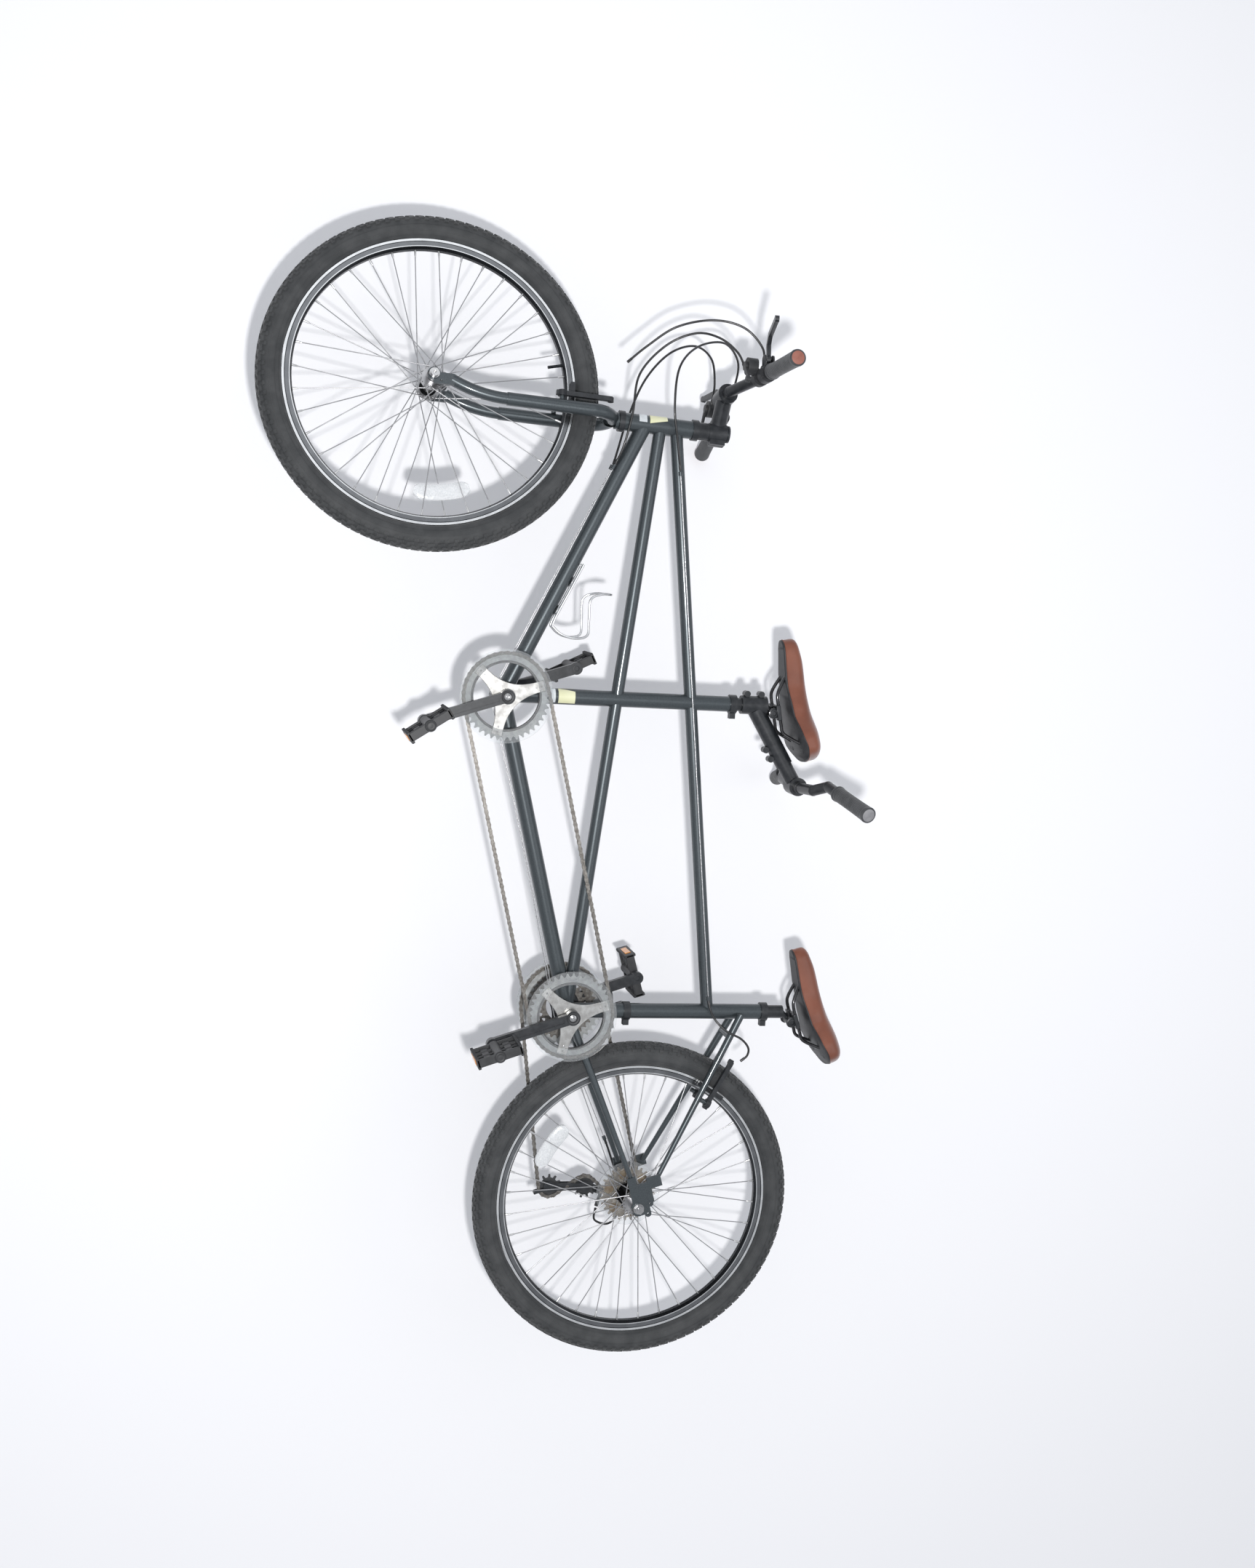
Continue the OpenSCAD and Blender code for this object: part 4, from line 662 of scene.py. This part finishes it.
def timing_set(name, centre, body, node):
    """Toothed ring, black backing ring and polished spider."""
    ring = piece(name + "_teeth", *toothed_ring(42, centre, TIMING_Y, 0.0705, 0.0021), ring_grey, body,
                 "alloy", [node], smooth=False)
    bevel(ring, 0.0004, 1)
    section = [(0.0655, -0.0036), (0.0745, -0.0036), (0.0745, -0.0012), (0.0655, -0.0012)]
    piece(name + "_backing", *lathe(section, centre + TIMING_Y * ACROSS, ACROSS, 96, closed=True),
          plastic_black, body, "black_metal")
    star_obj = piece(name + "_spider", *prism_solid(star(0.0795, 0.0115, 0.004, SPIDER_AT), centre,
                                                    TIMING_Y + 0.0012, TIMING_Y + 0.0042),
                     spider_finish, body, "alloy")
    bevel(star_obj, 0.0009)
    rivets = []
    for k in range(3):
        t = math.radians(SPIDER_AT + 120 * k)
        for r in (0.062, 0.072):
            at = centre + Vector((r * math.cos(t), TIMING_Y + 0.0040, r * math.sin(t)))
            rivets.append(plug([(0, -0.001), (0.0021, -0.001), (0.0019, 0.0007), (0.0011, 0.0011),
                                (0, 0.0012)], at, ACROSS, 16))
    piece(name + "_rivets", *join(rivets), chrome, body, "steel")


timing_set("front_timing", FRONT_BB, "front_crank", "front_timing_ring")
timing_set("rear_timing", REAR_BB, "rear_crank", "rear_chainrings")
for teeth, step, hole in ((42, 0, 0.0625), (34, 0.0055, 0.0505), (24, 0.011, 0.0345)):
    ring = piece(f"drive_ring_{teeth}", *toothed_ring(teeth, REAR_BB, DRIVE_Y + step, hole, 0.0021),
                 chain_steel if teeth < 40 else ring_grey, "rear_crank", "alloy", smooth=False)
    bevel(ring, 0.0004, 1)
for name, y, reach in (("drive_spider_outer", DRIVE_Y + 0.0028, 0.067),
                       ("drive_spider_inner", DRIVE_Y + 0.0083, 0.046)):
    arm = piece(name, *prism_solid(star(reach, 0.011, 0.004, SPIDER_AT), REAR_BB, y - 0.0016, y + 0.0016),
                satin_black, "rear_crank", "black_metal")
    bevel(arm, 0.0006)

CRANK_LEN = 0.170
CRANK_ANGLE = math.radians(-91.5)
ARM_FACE = 0.073


def crank_eye(bb, side):
    """The pedal axle's place on a crank arm, in the plane of the frame."""
    angle = CRANK_ANGLE if side > 0 else CRANK_ANGLE + math.pi
    return bb + CRANK_LEN * Vector((math.cos(angle), 0, math.sin(angle)))


def crank_details(name, bb, body):
    """A recessed bolt at each spindle end and a socket in each pedal thread."""
    caps, bolts, sockets = [], [], []
    for side in (1, -1):
        out = side * ACROSS
        face = bb + ARM_FACE * out
        caps.append(lathe([(0.0075, -0.001), (0.0128, -0.001), (0.0125, 0.0016), (0.0112, 0.0024),
                           (0.0088, 0.0020), (0.0075, 0.0002)], face, out, 40, closed=True))
        bolts.append(plug([(0, -0.0015), (0.0073, -0.0015), (0.0071, -0.0004), (0.0048, 0.0004),
                           (0.0046, 0.0028), (0.0034, 0.0031), (0.0030, 0.0016), (0, 0.0014)], face, out, 12))
        eye = crank_eye(bb, side)
        sockets.append(plug([(0, -0.0006), (0.0074, -0.0006), (0.0072, 0.0007), (0.0052, 0.0008),
                             (0.0046, -0.0002), (0, -0.0004)], eye + 0.0628 * out, -out, 24))
        sockets.append(lathe([(0.0068, -0.0004), (0.0105, -0.0004), (0.0100, 0.0010), (0.0074, 0.0012)],
                             eye + 0.0770 * out, out, 32, closed=True))
    piece(name + "_caps", *join(caps), plastic_black, body, "black_plastic")
    piece(name + "_bolts", *join(bolts), chrome, body, "steel")
    piece(name + "_sockets", *join(sockets), satin_black, body, "black_metal")


crank_details("front_crank", FRONT_BB, "front_crank")
crank_details("rear_crank", REAR_BB, "rear_crank")


# ---------------------------------------------------------------- pedals
def box_solid(x0, x1, y0, y1, z0, z1):
    verts = [Vector((x, y, z)) for z in (z0, z1) for y in (y0, y1) for x in (x0, x1)]
    return verts, [(0, 2, 3, 1), (4, 5, 7, 6), (0, 1, 5, 4), (1, 3, 7, 5), (3, 2, 6, 7), (2, 0, 4, 6)]


def toothed_rail(x0, x1, y0, y1, half):
    """A pedal's side rail, with teeth along both edges."""
    teeth = 13
    top = []
    for i in range(teeth * 2 + 1):
        top.append((y0 + (y1 - y0) * i / (teeth * 2), half if i % 2 else half - 0.0028))
    edge = top + [(y, -z) for y, z in reversed(top)]
    n = len(edge)
    verts = [Vector((x, y, z)) for x in (x0, x1) for y, z in edge]
    faces = [(k, (k + 1) % n, n + (k + 1) % n, n + k) for k in range(n)]
    m = teeth * 2 + 1
    for base in (0, n):
        faces += [(base + k, base + k + 1, base + n - 2 - k, base + n - 1 - k) for k in range(m - 1)]
    return verts, faces


PEDAL_Y = 0.126


def pedal(name, bb, side, turn, body, node):
    """Two toothed rails, end plates, a barrel round the axle, and reflectors."""
    eye = crank_eye(bb, side)
    spin = Matrix.Rotation(math.radians(-turn), 4, "Y")

    def place(solid):
        verts, faces = solid
        return [eye + spin @ Vector((v.x, side * v.y, v.z)) for v in verts], faces

    near_y, far_y = PEDAL_Y - 0.040, PEDAL_Y + 0.044
    rails = [toothed_rail(x, x + 0.006, near_y, far_y, 0.013) for x in (-0.047, 0.041)]
    bars = [box_solid(-0.046, 0.046, y, y + 0.006, -0.0085, 0.0085) for y in (near_y, PEDAL_Y + 0.038)]
    webs = [box_solid(-0.043, 0.043, PEDAL_Y + y, PEDAL_Y + y + 0.0035, -0.006, 0.006)
            for y in (-0.014, 0.012)]
    plates = [box_solid(x, x + 0.014, PEDAL_Y - 0.036, PEDAL_Y + 0.038, -0.0045, 0.0045)
              for x in (-0.030, 0.016)]
    cage = piece(name + "_cage", *place(join(rails + bars + webs + plates)), plastic_black, body,
                 "black_plastic", [node])
    bevel(cage, 0.0011)
    centre = Vector((0, PEDAL_Y, 0))
    barrel = lathe([(0.0058, -0.0415), (0.0105, -0.0415), (0.0120, -0.038), (0.0105, -0.030),
                    (0.0100, 0.030), (0.0118, 0.038), (0.0118, 0.0435), (0.0100, 0.0455), (0.0058, 0.0455)],
                   centre, ACROSS, 32, closed=True)
    cap = plug([(0, 0.0440), (0.0096, 0.0440), (0.0096, 0.0462), (0.0080, 0.0468), (0.0066, 0.0462),
                (0.0040, 0.0466), (0, 0.0467)], centre, ACROSS, 32)
    piece(name + "_barrel", *place(join([barrel, cap])), plastic_black, body, "black_plastic")
    lenses = [box_solid(x - 0.0009, x + 0.0009, PEDAL_Y - 0.022, PEDAL_Y + 0.024, -0.0062, 0.0062)
              for x in (-0.0475, 0.0475)]
    lens = piece(name + "_reflectors", *place(join(lenses)), amber, body, "black_plastic")
    bevel(lens, 0.0006)


pedal("front_left_pedal_detail", FRONT_BB, 1, 73, "front_left_pedal_body", "front_left_pedal")
pedal("front_right_pedal_detail", FRONT_BB, -1, 80, "front_right_pedal_body", "front_right_pedal")
pedal("rear_left_pedal_detail", REAR_BB, 1, 88, "rear_left_pedal_body", "rear_left_pedal")
pedal("rear_right_pedal_detail", REAR_BB, -1, 0, "rear_right_pedal_body", "rear_right_pedal")


# ---------------------------------------------------------------- saddles
SADDLE_TAIL, SADDLE_NOSE = -0.112, 0.144
TILT_BELOW = 0.008  # the tilt axis below the seatpost head's top


def eased(value, stops):
    """Smooth interpolation through (place, value) stops."""
    for (x0, v0), (x1, v1) in zip(stops, stops[1:]):
        if value <= x1:
            t = max(0, (value - x0) / (x1 - x0))
            return v0 + (v1 - v0) * t * t * (3 - 2 * t)
    return stops[-1][1]


HALF_WIDTH = [(-0.112, 0.070), (-0.080, 0.082), (-0.055, 0.080), (-0.005, 0.046), (0.055, 0.027),
              (0.144, 0.0205)]
TOP = [(-0.112, 0.0765), (-0.070, 0.0775), (0.020, 0.0700), (0.090, 0.0715), (0.144, 0.066)]
BOTTOM = [(-0.112, 0.046), (-0.078, 0.040), (-0.040, 0.033), (0, 0.029), (0.050, 0.029), (0.144, 0.036)]


RAIL = [(-0.074, 0.033, 0.043), (-0.062, 0.029, 0.026), (-0.044, 0.023, 0.006), (-0.026, 0.022, 0.004),
        (0.0, 0.022, 0.004), (0.030, 0.022, 0.004), (0.046, 0.020, 0.010), (0.070, 0.014, 0.029),
        (0.090, 0.010, 0.044)]


def rounded_end(x):
    """How much a station narrows near the saddle's two ends."""
    tail = min(1, (x - SADDLE_TAIL) / 0.046)
    nose = min(1, (SADDLE_NOSE - x) / 0.021)
    return math.sqrt(max(0, 1 - (1 - tail) ** 2.4)) * math.sqrt(max(0, 1 - (1 - nose) ** 2))


def stations(count):
    """Places along the saddle, closer together at its ends."""
    turns = [math.pi * (i + 0.4) / (count - 0.2) for i in range(count)]
    return [SADDLE_TAIL + (SADDLE_NOSE - SADDLE_TAIL) * (0.5 - 0.5 * math.cos(t)) for t in turns]


def loft(sections):
    """A closed skin over sections with equal point counts."""
    n = len(sections[0])
    verts = [v for s in sections for v in s]
    last = (len(sections) - 1) * n
    return verts, rings(len(sections) - 1, n) + [tuple(range(n))[::-1], tuple(range(last, last + n))]


def saddle_cover():
    sections = []
    for x in stations(44):
        grow = rounded_end(x)
        half = eased(x, HALF_WIDTH) * grow
        low, high = eased(x, BOTTOM), eased(x, TOP)
        high = low + (high - low) * (0.35 + 0.65 * math.sqrt(grow))
        ring = []
        for k in range(31):
            a = math.pi * (k / 30 - 0.5)
            s, c = math.sin(a), math.cos(a)
            ring.append(Vector((x, half * math.copysign(abs(s) ** 0.80, s),
                                low + (high - low) * abs(c) ** 0.62)))
        ring += [Vector((x, half * f, low - 0.0005)) for f in (0.8, 0.4, 0, -0.4, -0.8)]
        sections.append(ring)
    return loft(sections)


def saddle_base(inset, drop, rise):
    sections = []
    for x in stations(36):
        half = max(0.002, (eased(x, HALF_WIDTH) - inset) * rounded_end(x))
        low = eased(x, BOTTOM)
        ring = [Vector((x, half, low + rise)), Vector((x, half + 0.0012, low - drop * 0.4)),
                Vector((x, half * 0.94, low - drop)), Vector((x, -half * 0.94, low - drop)),
                Vector((x, -half - 0.0012, low - drop * 0.4)), Vector((x, -half, low + rise))]
        sections.append(ring)
    return loft(sections)


def saddle(name, head, tilt, body, node):
    turned = Matrix.Rotation(math.radians(tilt), 4, "Y")
    lift = Vector((0, 0, TILT_BELOW))

    def place(solid):
        verts, faces = solid
        return [head - lift + turned @ (v + lift) for v in verts], faces

    cover = piece(name + "_cover", *place(saddle_cover()), leather, body, "saddle_leather", [node])
    base = piece(name + "_base", *place(saddle_base(0.0016, 0.0042, 0.002)), plastic_black, body,
                 "black_plastic")
    bevel(base, 0.0008)
    # welted edge between cover and base
    edge = []
    for side in (-1, 1):
        line = [Vector((x, side * eased(x, HALF_WIDTH) * rounded_end(x), eased(x, BOTTOM) + 0.0006))
                for x in stations(40)]
        edge.append(tube(line, 0.0011, 8))
    piece(name + "_welt", *place(join(edge)), leather, body, "saddle_leather")
    rails = []
    for side in (-1, 1):
        route = [(x, side * y, z) for x, y, z in RAIL]
        rails.append(tube(spline(route, 6), 0.0035, 14))
    piece(name + "_rails", *place(join(rails)), rail_black, body, "black_metal")
    # ribs and sockets under the base
    under = [box_solid(-0.090, -0.066, y - 0.012, y + 0.012, 0.036, 0.045) for y in (-0.034, 0.034)]
    under.append(box_solid(0.078, 0.104, -0.016, 0.016, 0.036, 0.045))
    ribs = piece(name + "_sockets", *place(join(under)), plastic_black, body, "black_plastic")
    bevel(ribs, 0.002)
    # rail clamp with its bolt
    jaws = [box_solid(-0.016, 0.016, y - 0.0075, y + 0.0075, -0.0025, 0.0065) for y in (-0.022, 0.022)]
    jaws.append(box_solid(-0.0145, 0.0145, -0.0148, 0.0148, 0.0008, 0.0068))
    clamp = piece(name + "_clamp", *place(join(jaws)), satin_black, body, "black_metal")
    bevel(clamp, 0.0016)


rail_black = material("saddle_rail_black", (0.02, 0.02, 0.022), 0.18, metallic=0.6,
                      second=(0.04, 0.04, 0.044), mix_scale=80, coat=0.5)
CAPTAIN_HEAD, STOKER_HEAD = Vector((0.916, 0, 0.530)), Vector((0.272, 0, 0.423))
saddle("captain_saddle", CAPTAIN_HEAD, -5, "captain_saddle", "front_saddle")
saddle("stoker_saddle", STOKER_HEAD, 1, "stoker_saddle", "rear_saddle")


def seatpost_head(name, head, body):
    """Toothed washers and a bolt through the seatpost's head."""
    at = head - Vector((0, 0, TILT_BELOW))
    parts = []
    for side in (-1, 1):
        parts.append(plug([(0, -0.002), (0.0105, -0.002), (0.0112, 0.0005), (0.0106, 0.0030),
                           (0.0078, 0.0038), (0.0074, 0.0058), (0.0050, 0.0060), (0.0040, 0.0035),
                           (0, 0.0033)],
                          at + side * 0.0205 * ACROSS, side * ACROSS, 28))
    piece(name + "_head_bolts", *join(parts), satin_black, body, "black_metal")


seatpost_head("captain_post", CAPTAIN_HEAD, "captain_seatpost")
seatpost_head("stoker_post", STOKER_HEAD, "stoker_seatpost")


# ---------------------------------------------------------------- grips
def grip(name, inner_end, outer_end, body, cap_finish, stands_for=()):
    """A ribbed grip, slightly flared at both ends, with an end cap."""
    way = (outer_end - inner_end).normalized()
    length = (outer_end - inner_end).length
    rows = [(0, 0.0), (0.0155, 0.0), (0.0163, 0.0012), (0.0163, 0.0042), (0.0150, 0.0058)]
    ribs = 26
    for i in range(ribs):
        f = i / (ribs - 1)
        h = 0.008 + (length - 0.018) * f
        radius = 0.0147 + 0.0011 * f * f + 0.0005 * (1 - f) ** 3
        step = (length - 0.018) / ribs
        rows += [(radius - 0.0005, h), (radius, h + step * 0.22), (radius, h + step * 0.68)]
    rows += [(0.0160, length - 0.0075), (0.0164, length - 0.0045), (0.0160, length - 0.0012),
             (0.0148, length - 0.0002), (0, length - 0.0004)]
    piece(name, *plug(rows, inner_end, way, 40), grip_rubber, body, "grip_rubber", stands_for)
    piece(name + "_cap", *plug([(0, -0.0015), (0.0132, -0.0015), (0.0132, 0.0002), (0.0118, 0.0009),
                                (0, 0.0011)], outer_end - 0.0006 * way, way, 40), cap_finish, body,
          "grip_rubber")


def along(rise, tip, y):
    """The point at y on the straight end of a bar."""
    f = (abs(y) - rise[1]) / (tip[1] - rise[1])
    return rise[0] + (tip[0] - rise[0]) * f, y, rise[2] + (tip[2] - rise[2]) * f


GRIP_LEN = 0.128
OVER_TIP = 0.002
BAR_RISE, BAR_TIP = (0.080, 0.112, 0.237), (0.057, 0.320, 0.252)
STOKER_RISE, STOKER_TIP = (0.763, 0.142, 0.566), (0.721, 0.297, 0.586)
STOKER_GRIP_Y = 0.180
for side, word in ((1, "left"), (-1, "right")):
    far = BAR_TIP[1] + OVER_TIP
    ends = [steer(*along(BAR_RISE, BAR_TIP, side * y)) for y in (far - GRIP_LEN, far)]
    grip(f"captain_grip_{word}", *ends, "steering", end_terracotta, ["front_grips"] if side > 0 else ())
    far = STOKER_TIP[1] + OVER_TIP
    ends = [Vector(along(STOKER_RISE, STOKER_TIP, side * y)) for y in (STOKER_GRIP_Y, far)]
    grip(f"stoker_grip_{word}", *ends, "stoker_handlebar", end_grey, ["stoker_grips"] if side > 0 else ())


# ---------------------------------------------------------------- bottle cage wire
CAGE_DIR = (HEAD_LOW + 0.044 * HEAD_UP - FRONT_BB).normalized()
CAGE_OUT = Vector((-CAGE_DIR.z, 0, CAGE_DIR.x))
CAGE_MID = FRONT_BB + 0.230 * CAGE_DIR


def on_cage(along, y, out):
    return CAGE_MID + along * CAGE_DIR + Vector((0, y, 0)) + (TUBE_R + out) * CAGE_OUT


cage_parts = []
for side in (-1, 1):
    route = [(0.074, 0.011, 0.0057), (0.020, 0.011, 0.0057), (-0.054, 0.011, 0.0057),
             (-0.066, 0.013, 0.014), (-0.070, 0.018, 0.034), (-0.064, 0.026, 0.058), (-0.048, 0.034, 0.074),
             (-0.020, 0.037, 0.062),
             (0.016, 0.038, 0.046), (0.036, 0.034, 0.060), (0.046, 0.020, 0.080), (0.048, 0.0, 0.086)]
    cage_parts.append(tube(spline([on_cage(a, side * y, b) for a, y, b in route], 8), 0.0025, 12))
    cage_parts.append(plug([(0, 0.0002), (0.0115, 0.0002), (0.0115, 0.0028), (0.0108, 0.0032), (0, 0.0034)],
                           on_cage(side * 0.032, 0, 0), CAGE_OUT, 28))
    cage_parts.append(plug([(0, 0.003), (0.0044, 0.003), (0.0044, 0.0058), (0.0034, 0.0066),
                            (0.0022, 0.0066), (0.0020, 0.005), (0, 0.005)],
                           on_cage(side * 0.032, 0, 0), CAGE_OUT, 18))
cage_parts.append(tube([on_cage(0.070, -0.011, 0.0057), on_cage(0.070, 0.011, 0.0057)], 0.0025, 12))
piece("bottle_cage_wire", *join(cage_parts), alloy_wire, "frame", "alloy", ["bottle_cage"])


# ---------------------------------------------------------------- decals
def wrap(name, start, end, radius, out, spread, finish, shape=lambda f: (-1, 1)):
    """A thin patch bent round a tube: from start to end, spread each way from the out direction."""
    way = (end - start).normalized()
    out = (out - out.dot(way) * way).normalized()
    side = way.cross(out)
    cols, rows = 14, 10
    verts, faces = [], []
    for r in (radius + 0.0003, radius + 0.0006):
        for i in range(rows + 1):
            f = i / rows
            lo, hi = shape(f)
            for k in range(cols + 1):
                t = math.radians(spread) * (lo + (hi - lo) * k / cols)
                verts.append(start + (end - start) * f + r * polar(t, out, side))
    n = cols + 1
    layer = n * (rows + 1)
    for base in (0, layer):
        for i in range(rows):
            for k in range(cols):
                faces.append((base + i * n + k, base + i * n + k + 1, base + (i + 1) * n + k + 1,
                              base + (i + 1) * n + k))
    border = (list(range(n)) + [i * n + cols for i in range(1, rows + 1)]
              + [rows * n + k for k in range(cols - 1, -1, -1)] + [i * n for i in range(rows - 1, 0, -1)])
    for p, q in zip(border, border[1:] + border[:1]):
        faces.append((p, q, layer + q, layer + p))
    return piece(name, verts, faces, finish, "frame", "frame_paint")


def on_seat(bb, s):
    return bb + s * SEAT_UP


HEAD_R = 0.018
for word, side in (("left", 1), ("right", -1)):
    out = Vector((0.25, side, 0.05))
    wrap(f"seat_decal_panel_{word}", on_seat(FRONT_BB, 0.112), on_seat(FRONT_BB, 0.146), TUBE_R, out, 62,
         decal_pale, lambda f: (-1 + 0.5 * f, 1))
    wrap(f"seat_decal_bar_{word}", on_seat(FRONT_BB, 0.092), on_seat(FRONT_BB, 0.106), TUBE_R, out, 58,
         decal_grey)
    wrap(f"head_decal_panel_{word}", HEAD_LOW + 0.050 * HEAD_UP, HEAD_LOW + 0.086 * HEAD_UP, HEAD_R,
         Vector((0.9, 0.75 * side, 0.1)), 44, decal_pale, lambda f: (-1, 1 - 0.6 * f))
    wrap(f"head_decal_bar_{word}", HEAD_LOW + 0.028 * HEAD_UP, HEAD_LOW + 0.044 * HEAD_UP, HEAD_R,
         Vector((0.9, 0.75 * side, 0.1)), 40, decal_grey)


# ---------------------------------------------------------------- cables
HOUSING_R, WIRE_R = 0.0023, 0.001
SHIFT_LEFT = [(1.603, .089, .597), (1.636, .082, .592), (1.672, .070, .566), (1.692, .048, .526),
              (1.682, .030, .466), (1.640, .022, .404), (1.570, .026, .372), (1.512, .020, .341),
              (1.481, .0094, .3185)]
SHIFT_RIGHT = [(1.551, -.136, .578), (1.590, -.128, .592), (1.640, -.104, .590), (1.672, -.070, .552),
               (1.668, -.046, .490), (1.628, -.034, .426), (1.562, -.028, .372), (1.510, -.019, .338),
               (1.481, -.0094, .3185)]
BRAKE_REAR = [(1.540, -.149, .609), (1.574, -.138, .634), (1.622, -.108, .645), (1.664, -.062, .612),
              (1.668, -.020, .545), (1.636, .026, .486), (1.564, .036, .456), (1.490, .026, .448),
              (1.439, .0167, .4434)]
BRAKE_FRONT = [(1.598, .100, .631), (1.634, .092, .640), (1.680, .086, .614), (1.708, .072, .560),
               (1.712, .046, .492), (1.690, .032, .430), (1.668, .026, .384)]
WIRE_LEFT = [(1.4717, .009, .3098), (1.300, .009, .1545), (1.129, .009, -.003), (1.115, .009, -.021),
             (1.101, .009, -.033), (1.080, .009, -.034), (1.040, .008, -.034), (.760, .008, -.043),
             (.470, .004, -.057), (.440, -.004, -.061)]
WIRE_RIGHT = [(1.4717, -.009, .3098), (1.300, -.009, .1545), (1.129, -.009, -.003), (1.115, -.009, -.021),
              (1.101, -.009, -.033), (1.080, -.009, -.034), (1.040, -.008, -.034), (.760, -.008, -.043),
              (.452, -.010, -.061), (.416, -.020, -.061), (.380, -.0405, -.052), (.300, -.054, -.040),
              (.1224, -.066, -.016)]
BRAKE_WIRE = [(1.4276, .0175, .4412), (1.000, .0175, .3655), (.600, .0175, .2947), (.3764, .0175, .255)]
BRAKE_TAIL = [(.3674, .0175, .2535), (.348, .024, .252), (.326, .034, .256), (.300, .043, .272),
              (.278, .048, .296), (.256, .050, .306), (.240, .049, .300), (.232, .047, .284)]
GEAR_TAIL = [(.1134, -.066, -.015), (.090, -.073, -.012), (.050, -.084, -.008), (.020, -.092, -.004),
             (-.026, -.092, -.006), (-.062, -.090, -.024), (-.076, -.086, -.050), (-.056, -.080, -.076),
             (-.030, -.0765, -.068)]


def cable(name, route, radius, finish, body, slot, stands_for=(), ferrules=True):
    """A smooth cable along its route, with a ferrule on each end of a housing."""
    path = spline(route, 10)
    parts = [tube(path, radius, 12)]
    if ferrules:
        for end, inward in ((path[0], path[1]), (path[-1], path[-2])):
            way = (inward - end).normalized()
            parts.append(tube([end + 0.0002 * way, end + 0.010 * way, end + 0.0115 * way],
                              [radius + 0.0005, radius + 0.0005, radius + 0.0001], 14))
    verts, faces = join(parts)
    return piece(name, verts, faces, finish, body, slot, stands_for)


for name, route in (("left_shift_cable", SHIFT_LEFT), ("right_shift_cable", SHIFT_RIGHT),
                    ("rear_brake_cable", BRAKE_REAR)):
    bending = cable(name, route, HOUSING_R, housing, None, "cable_housing")
    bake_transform(bending)
cable("front_brake_cable", BRAKE_FRONT, HOUSING_R, housing, "steering", "cable_housing",
      ["steering_cables"])
for name, route, stands_for in (("left_gear_wire", WIRE_LEFT, ["frame_cables"]),
                                ("right_gear_wire", WIRE_RIGHT, ()), ("rear_brake_wire", BRAKE_WIRE, ())):
    cable(name, route, WIRE_R, wire, "frame", "cable_wire", stands_for, ferrules=False)
for name, route in (("rear_brake_housing", BRAKE_TAIL), ("gear_housing", GEAR_TAIL)):
    cable(name, route, HOUSING_R, housing, "frame", "cable_housing")


# ---------------------------------------------------------------- camera, light and backdrop
WALL_Y = -0.345
CAMERA_AT = Vector((1.549, 3.815, -0.536))
CAMERA_RIGHT = Vector((-0.2259, 0.2233, 0.9482))
CAMERA_UP = Vector((0.9579, -0.1262, 0.2580))
CAMERA_BACK = Vector((0.1772, 0.9666, -0.1854))


def backdrop():
    """A pale wall behind the bicycle, seen only from its front."""
    mesh = bpy.data.meshes.new("wall")
    half = 9
    mesh.from_pydata([(1 - half, WALL_Y, -half), (1 + half, WALL_Y, -half), (1 + half, WALL_Y, half),
                      (1 - half, WALL_Y, half)], [], [(3, 2, 1, 0)])
    obj = added("wall", mesh)
    m = bpy.data.materials.new("wall_white")
    m.use_nodes = True
    tree = m.node_tree
    shader = tree.nodes["Principled BSDF"]
    shader.inputs["Base Color"].default_value = (0.86, 0.86, 0.88, 1)
    shader.inputs["Roughness"].default_value = 0.9
    shader.inputs["Specular IOR Level"].default_value = 0.1
    side = tree.nodes.new("ShaderNodeNewGeometry")
    through = tree.nodes.new("ShaderNodeBsdfTransparent")
    mix = tree.nodes.new("ShaderNodeMixShader")
    tree.links.new(side.outputs["Backfacing"], mix.inputs["Fac"])
    tree.links.new(shader.outputs["BSDF"], mix.inputs[1])
    tree.links.new(through.outputs["BSDF"], mix.inputs[2])
    tree.links.new(mix.outputs["Shader"], tree.nodes["Material Output"].inputs["Surface"])
    mesh.materials.append(m)


MIDDLE = Vector((0.9, 0, 0.1))
COOL = (0.96, 0.98, 1.0)


def area_light(name, at, size, power, color):
    """A round light aimed at the middle of the bicycle."""
    data = bpy.data.lights.new(name, "AREA")
    data.shape = "DISK"
    data.size = size
    data.energy = power
    data.color = color
    obj = added(name, data)
    obj.location = at
    obj.rotation_euler = (MIDDLE - Vector(at)).to_track_quat("-Z", "Y").to_euler()


backdrop()
area_light("key", (1.19, 3.7, -0.42), 0.12, 96, (1.0, 0.99, 0.98))
area_light("fill_high", (0.2, 2.6, 2.4), 2.4, 10, COOL)
area_light("fill_front", (3.4, 2.2, 0.6), 2.0, 8, COOL)
world = bpy.data.worlds.new("studio")
world.use_nodes = True
sky = world.node_tree.nodes["Background"].inputs
sky["Color"].default_value = (0.93, 0.955, 1.0, 1)
sky["Strength"].default_value = 0.66
bpy.context.scene.world = world
bpy.context.scene.view_settings.view_transform = "Standard"

camera_data = bpy.data.cameras.new("camera")
camera_data.sensor_fit = "VERTICAL"
camera_data.sensor_height = 24
camera_data.lens = 29.70
camera_data.clip_end = 60
camera = added("camera", camera_data)
turn = Matrix((CAMERA_RIGHT, CAMERA_UP, CAMERA_BACK)).transposed().to_4x4()
camera.matrix_world = Matrix.Translation(CAMERA_AT) @ turn
bpy.context.scene.camera = camera
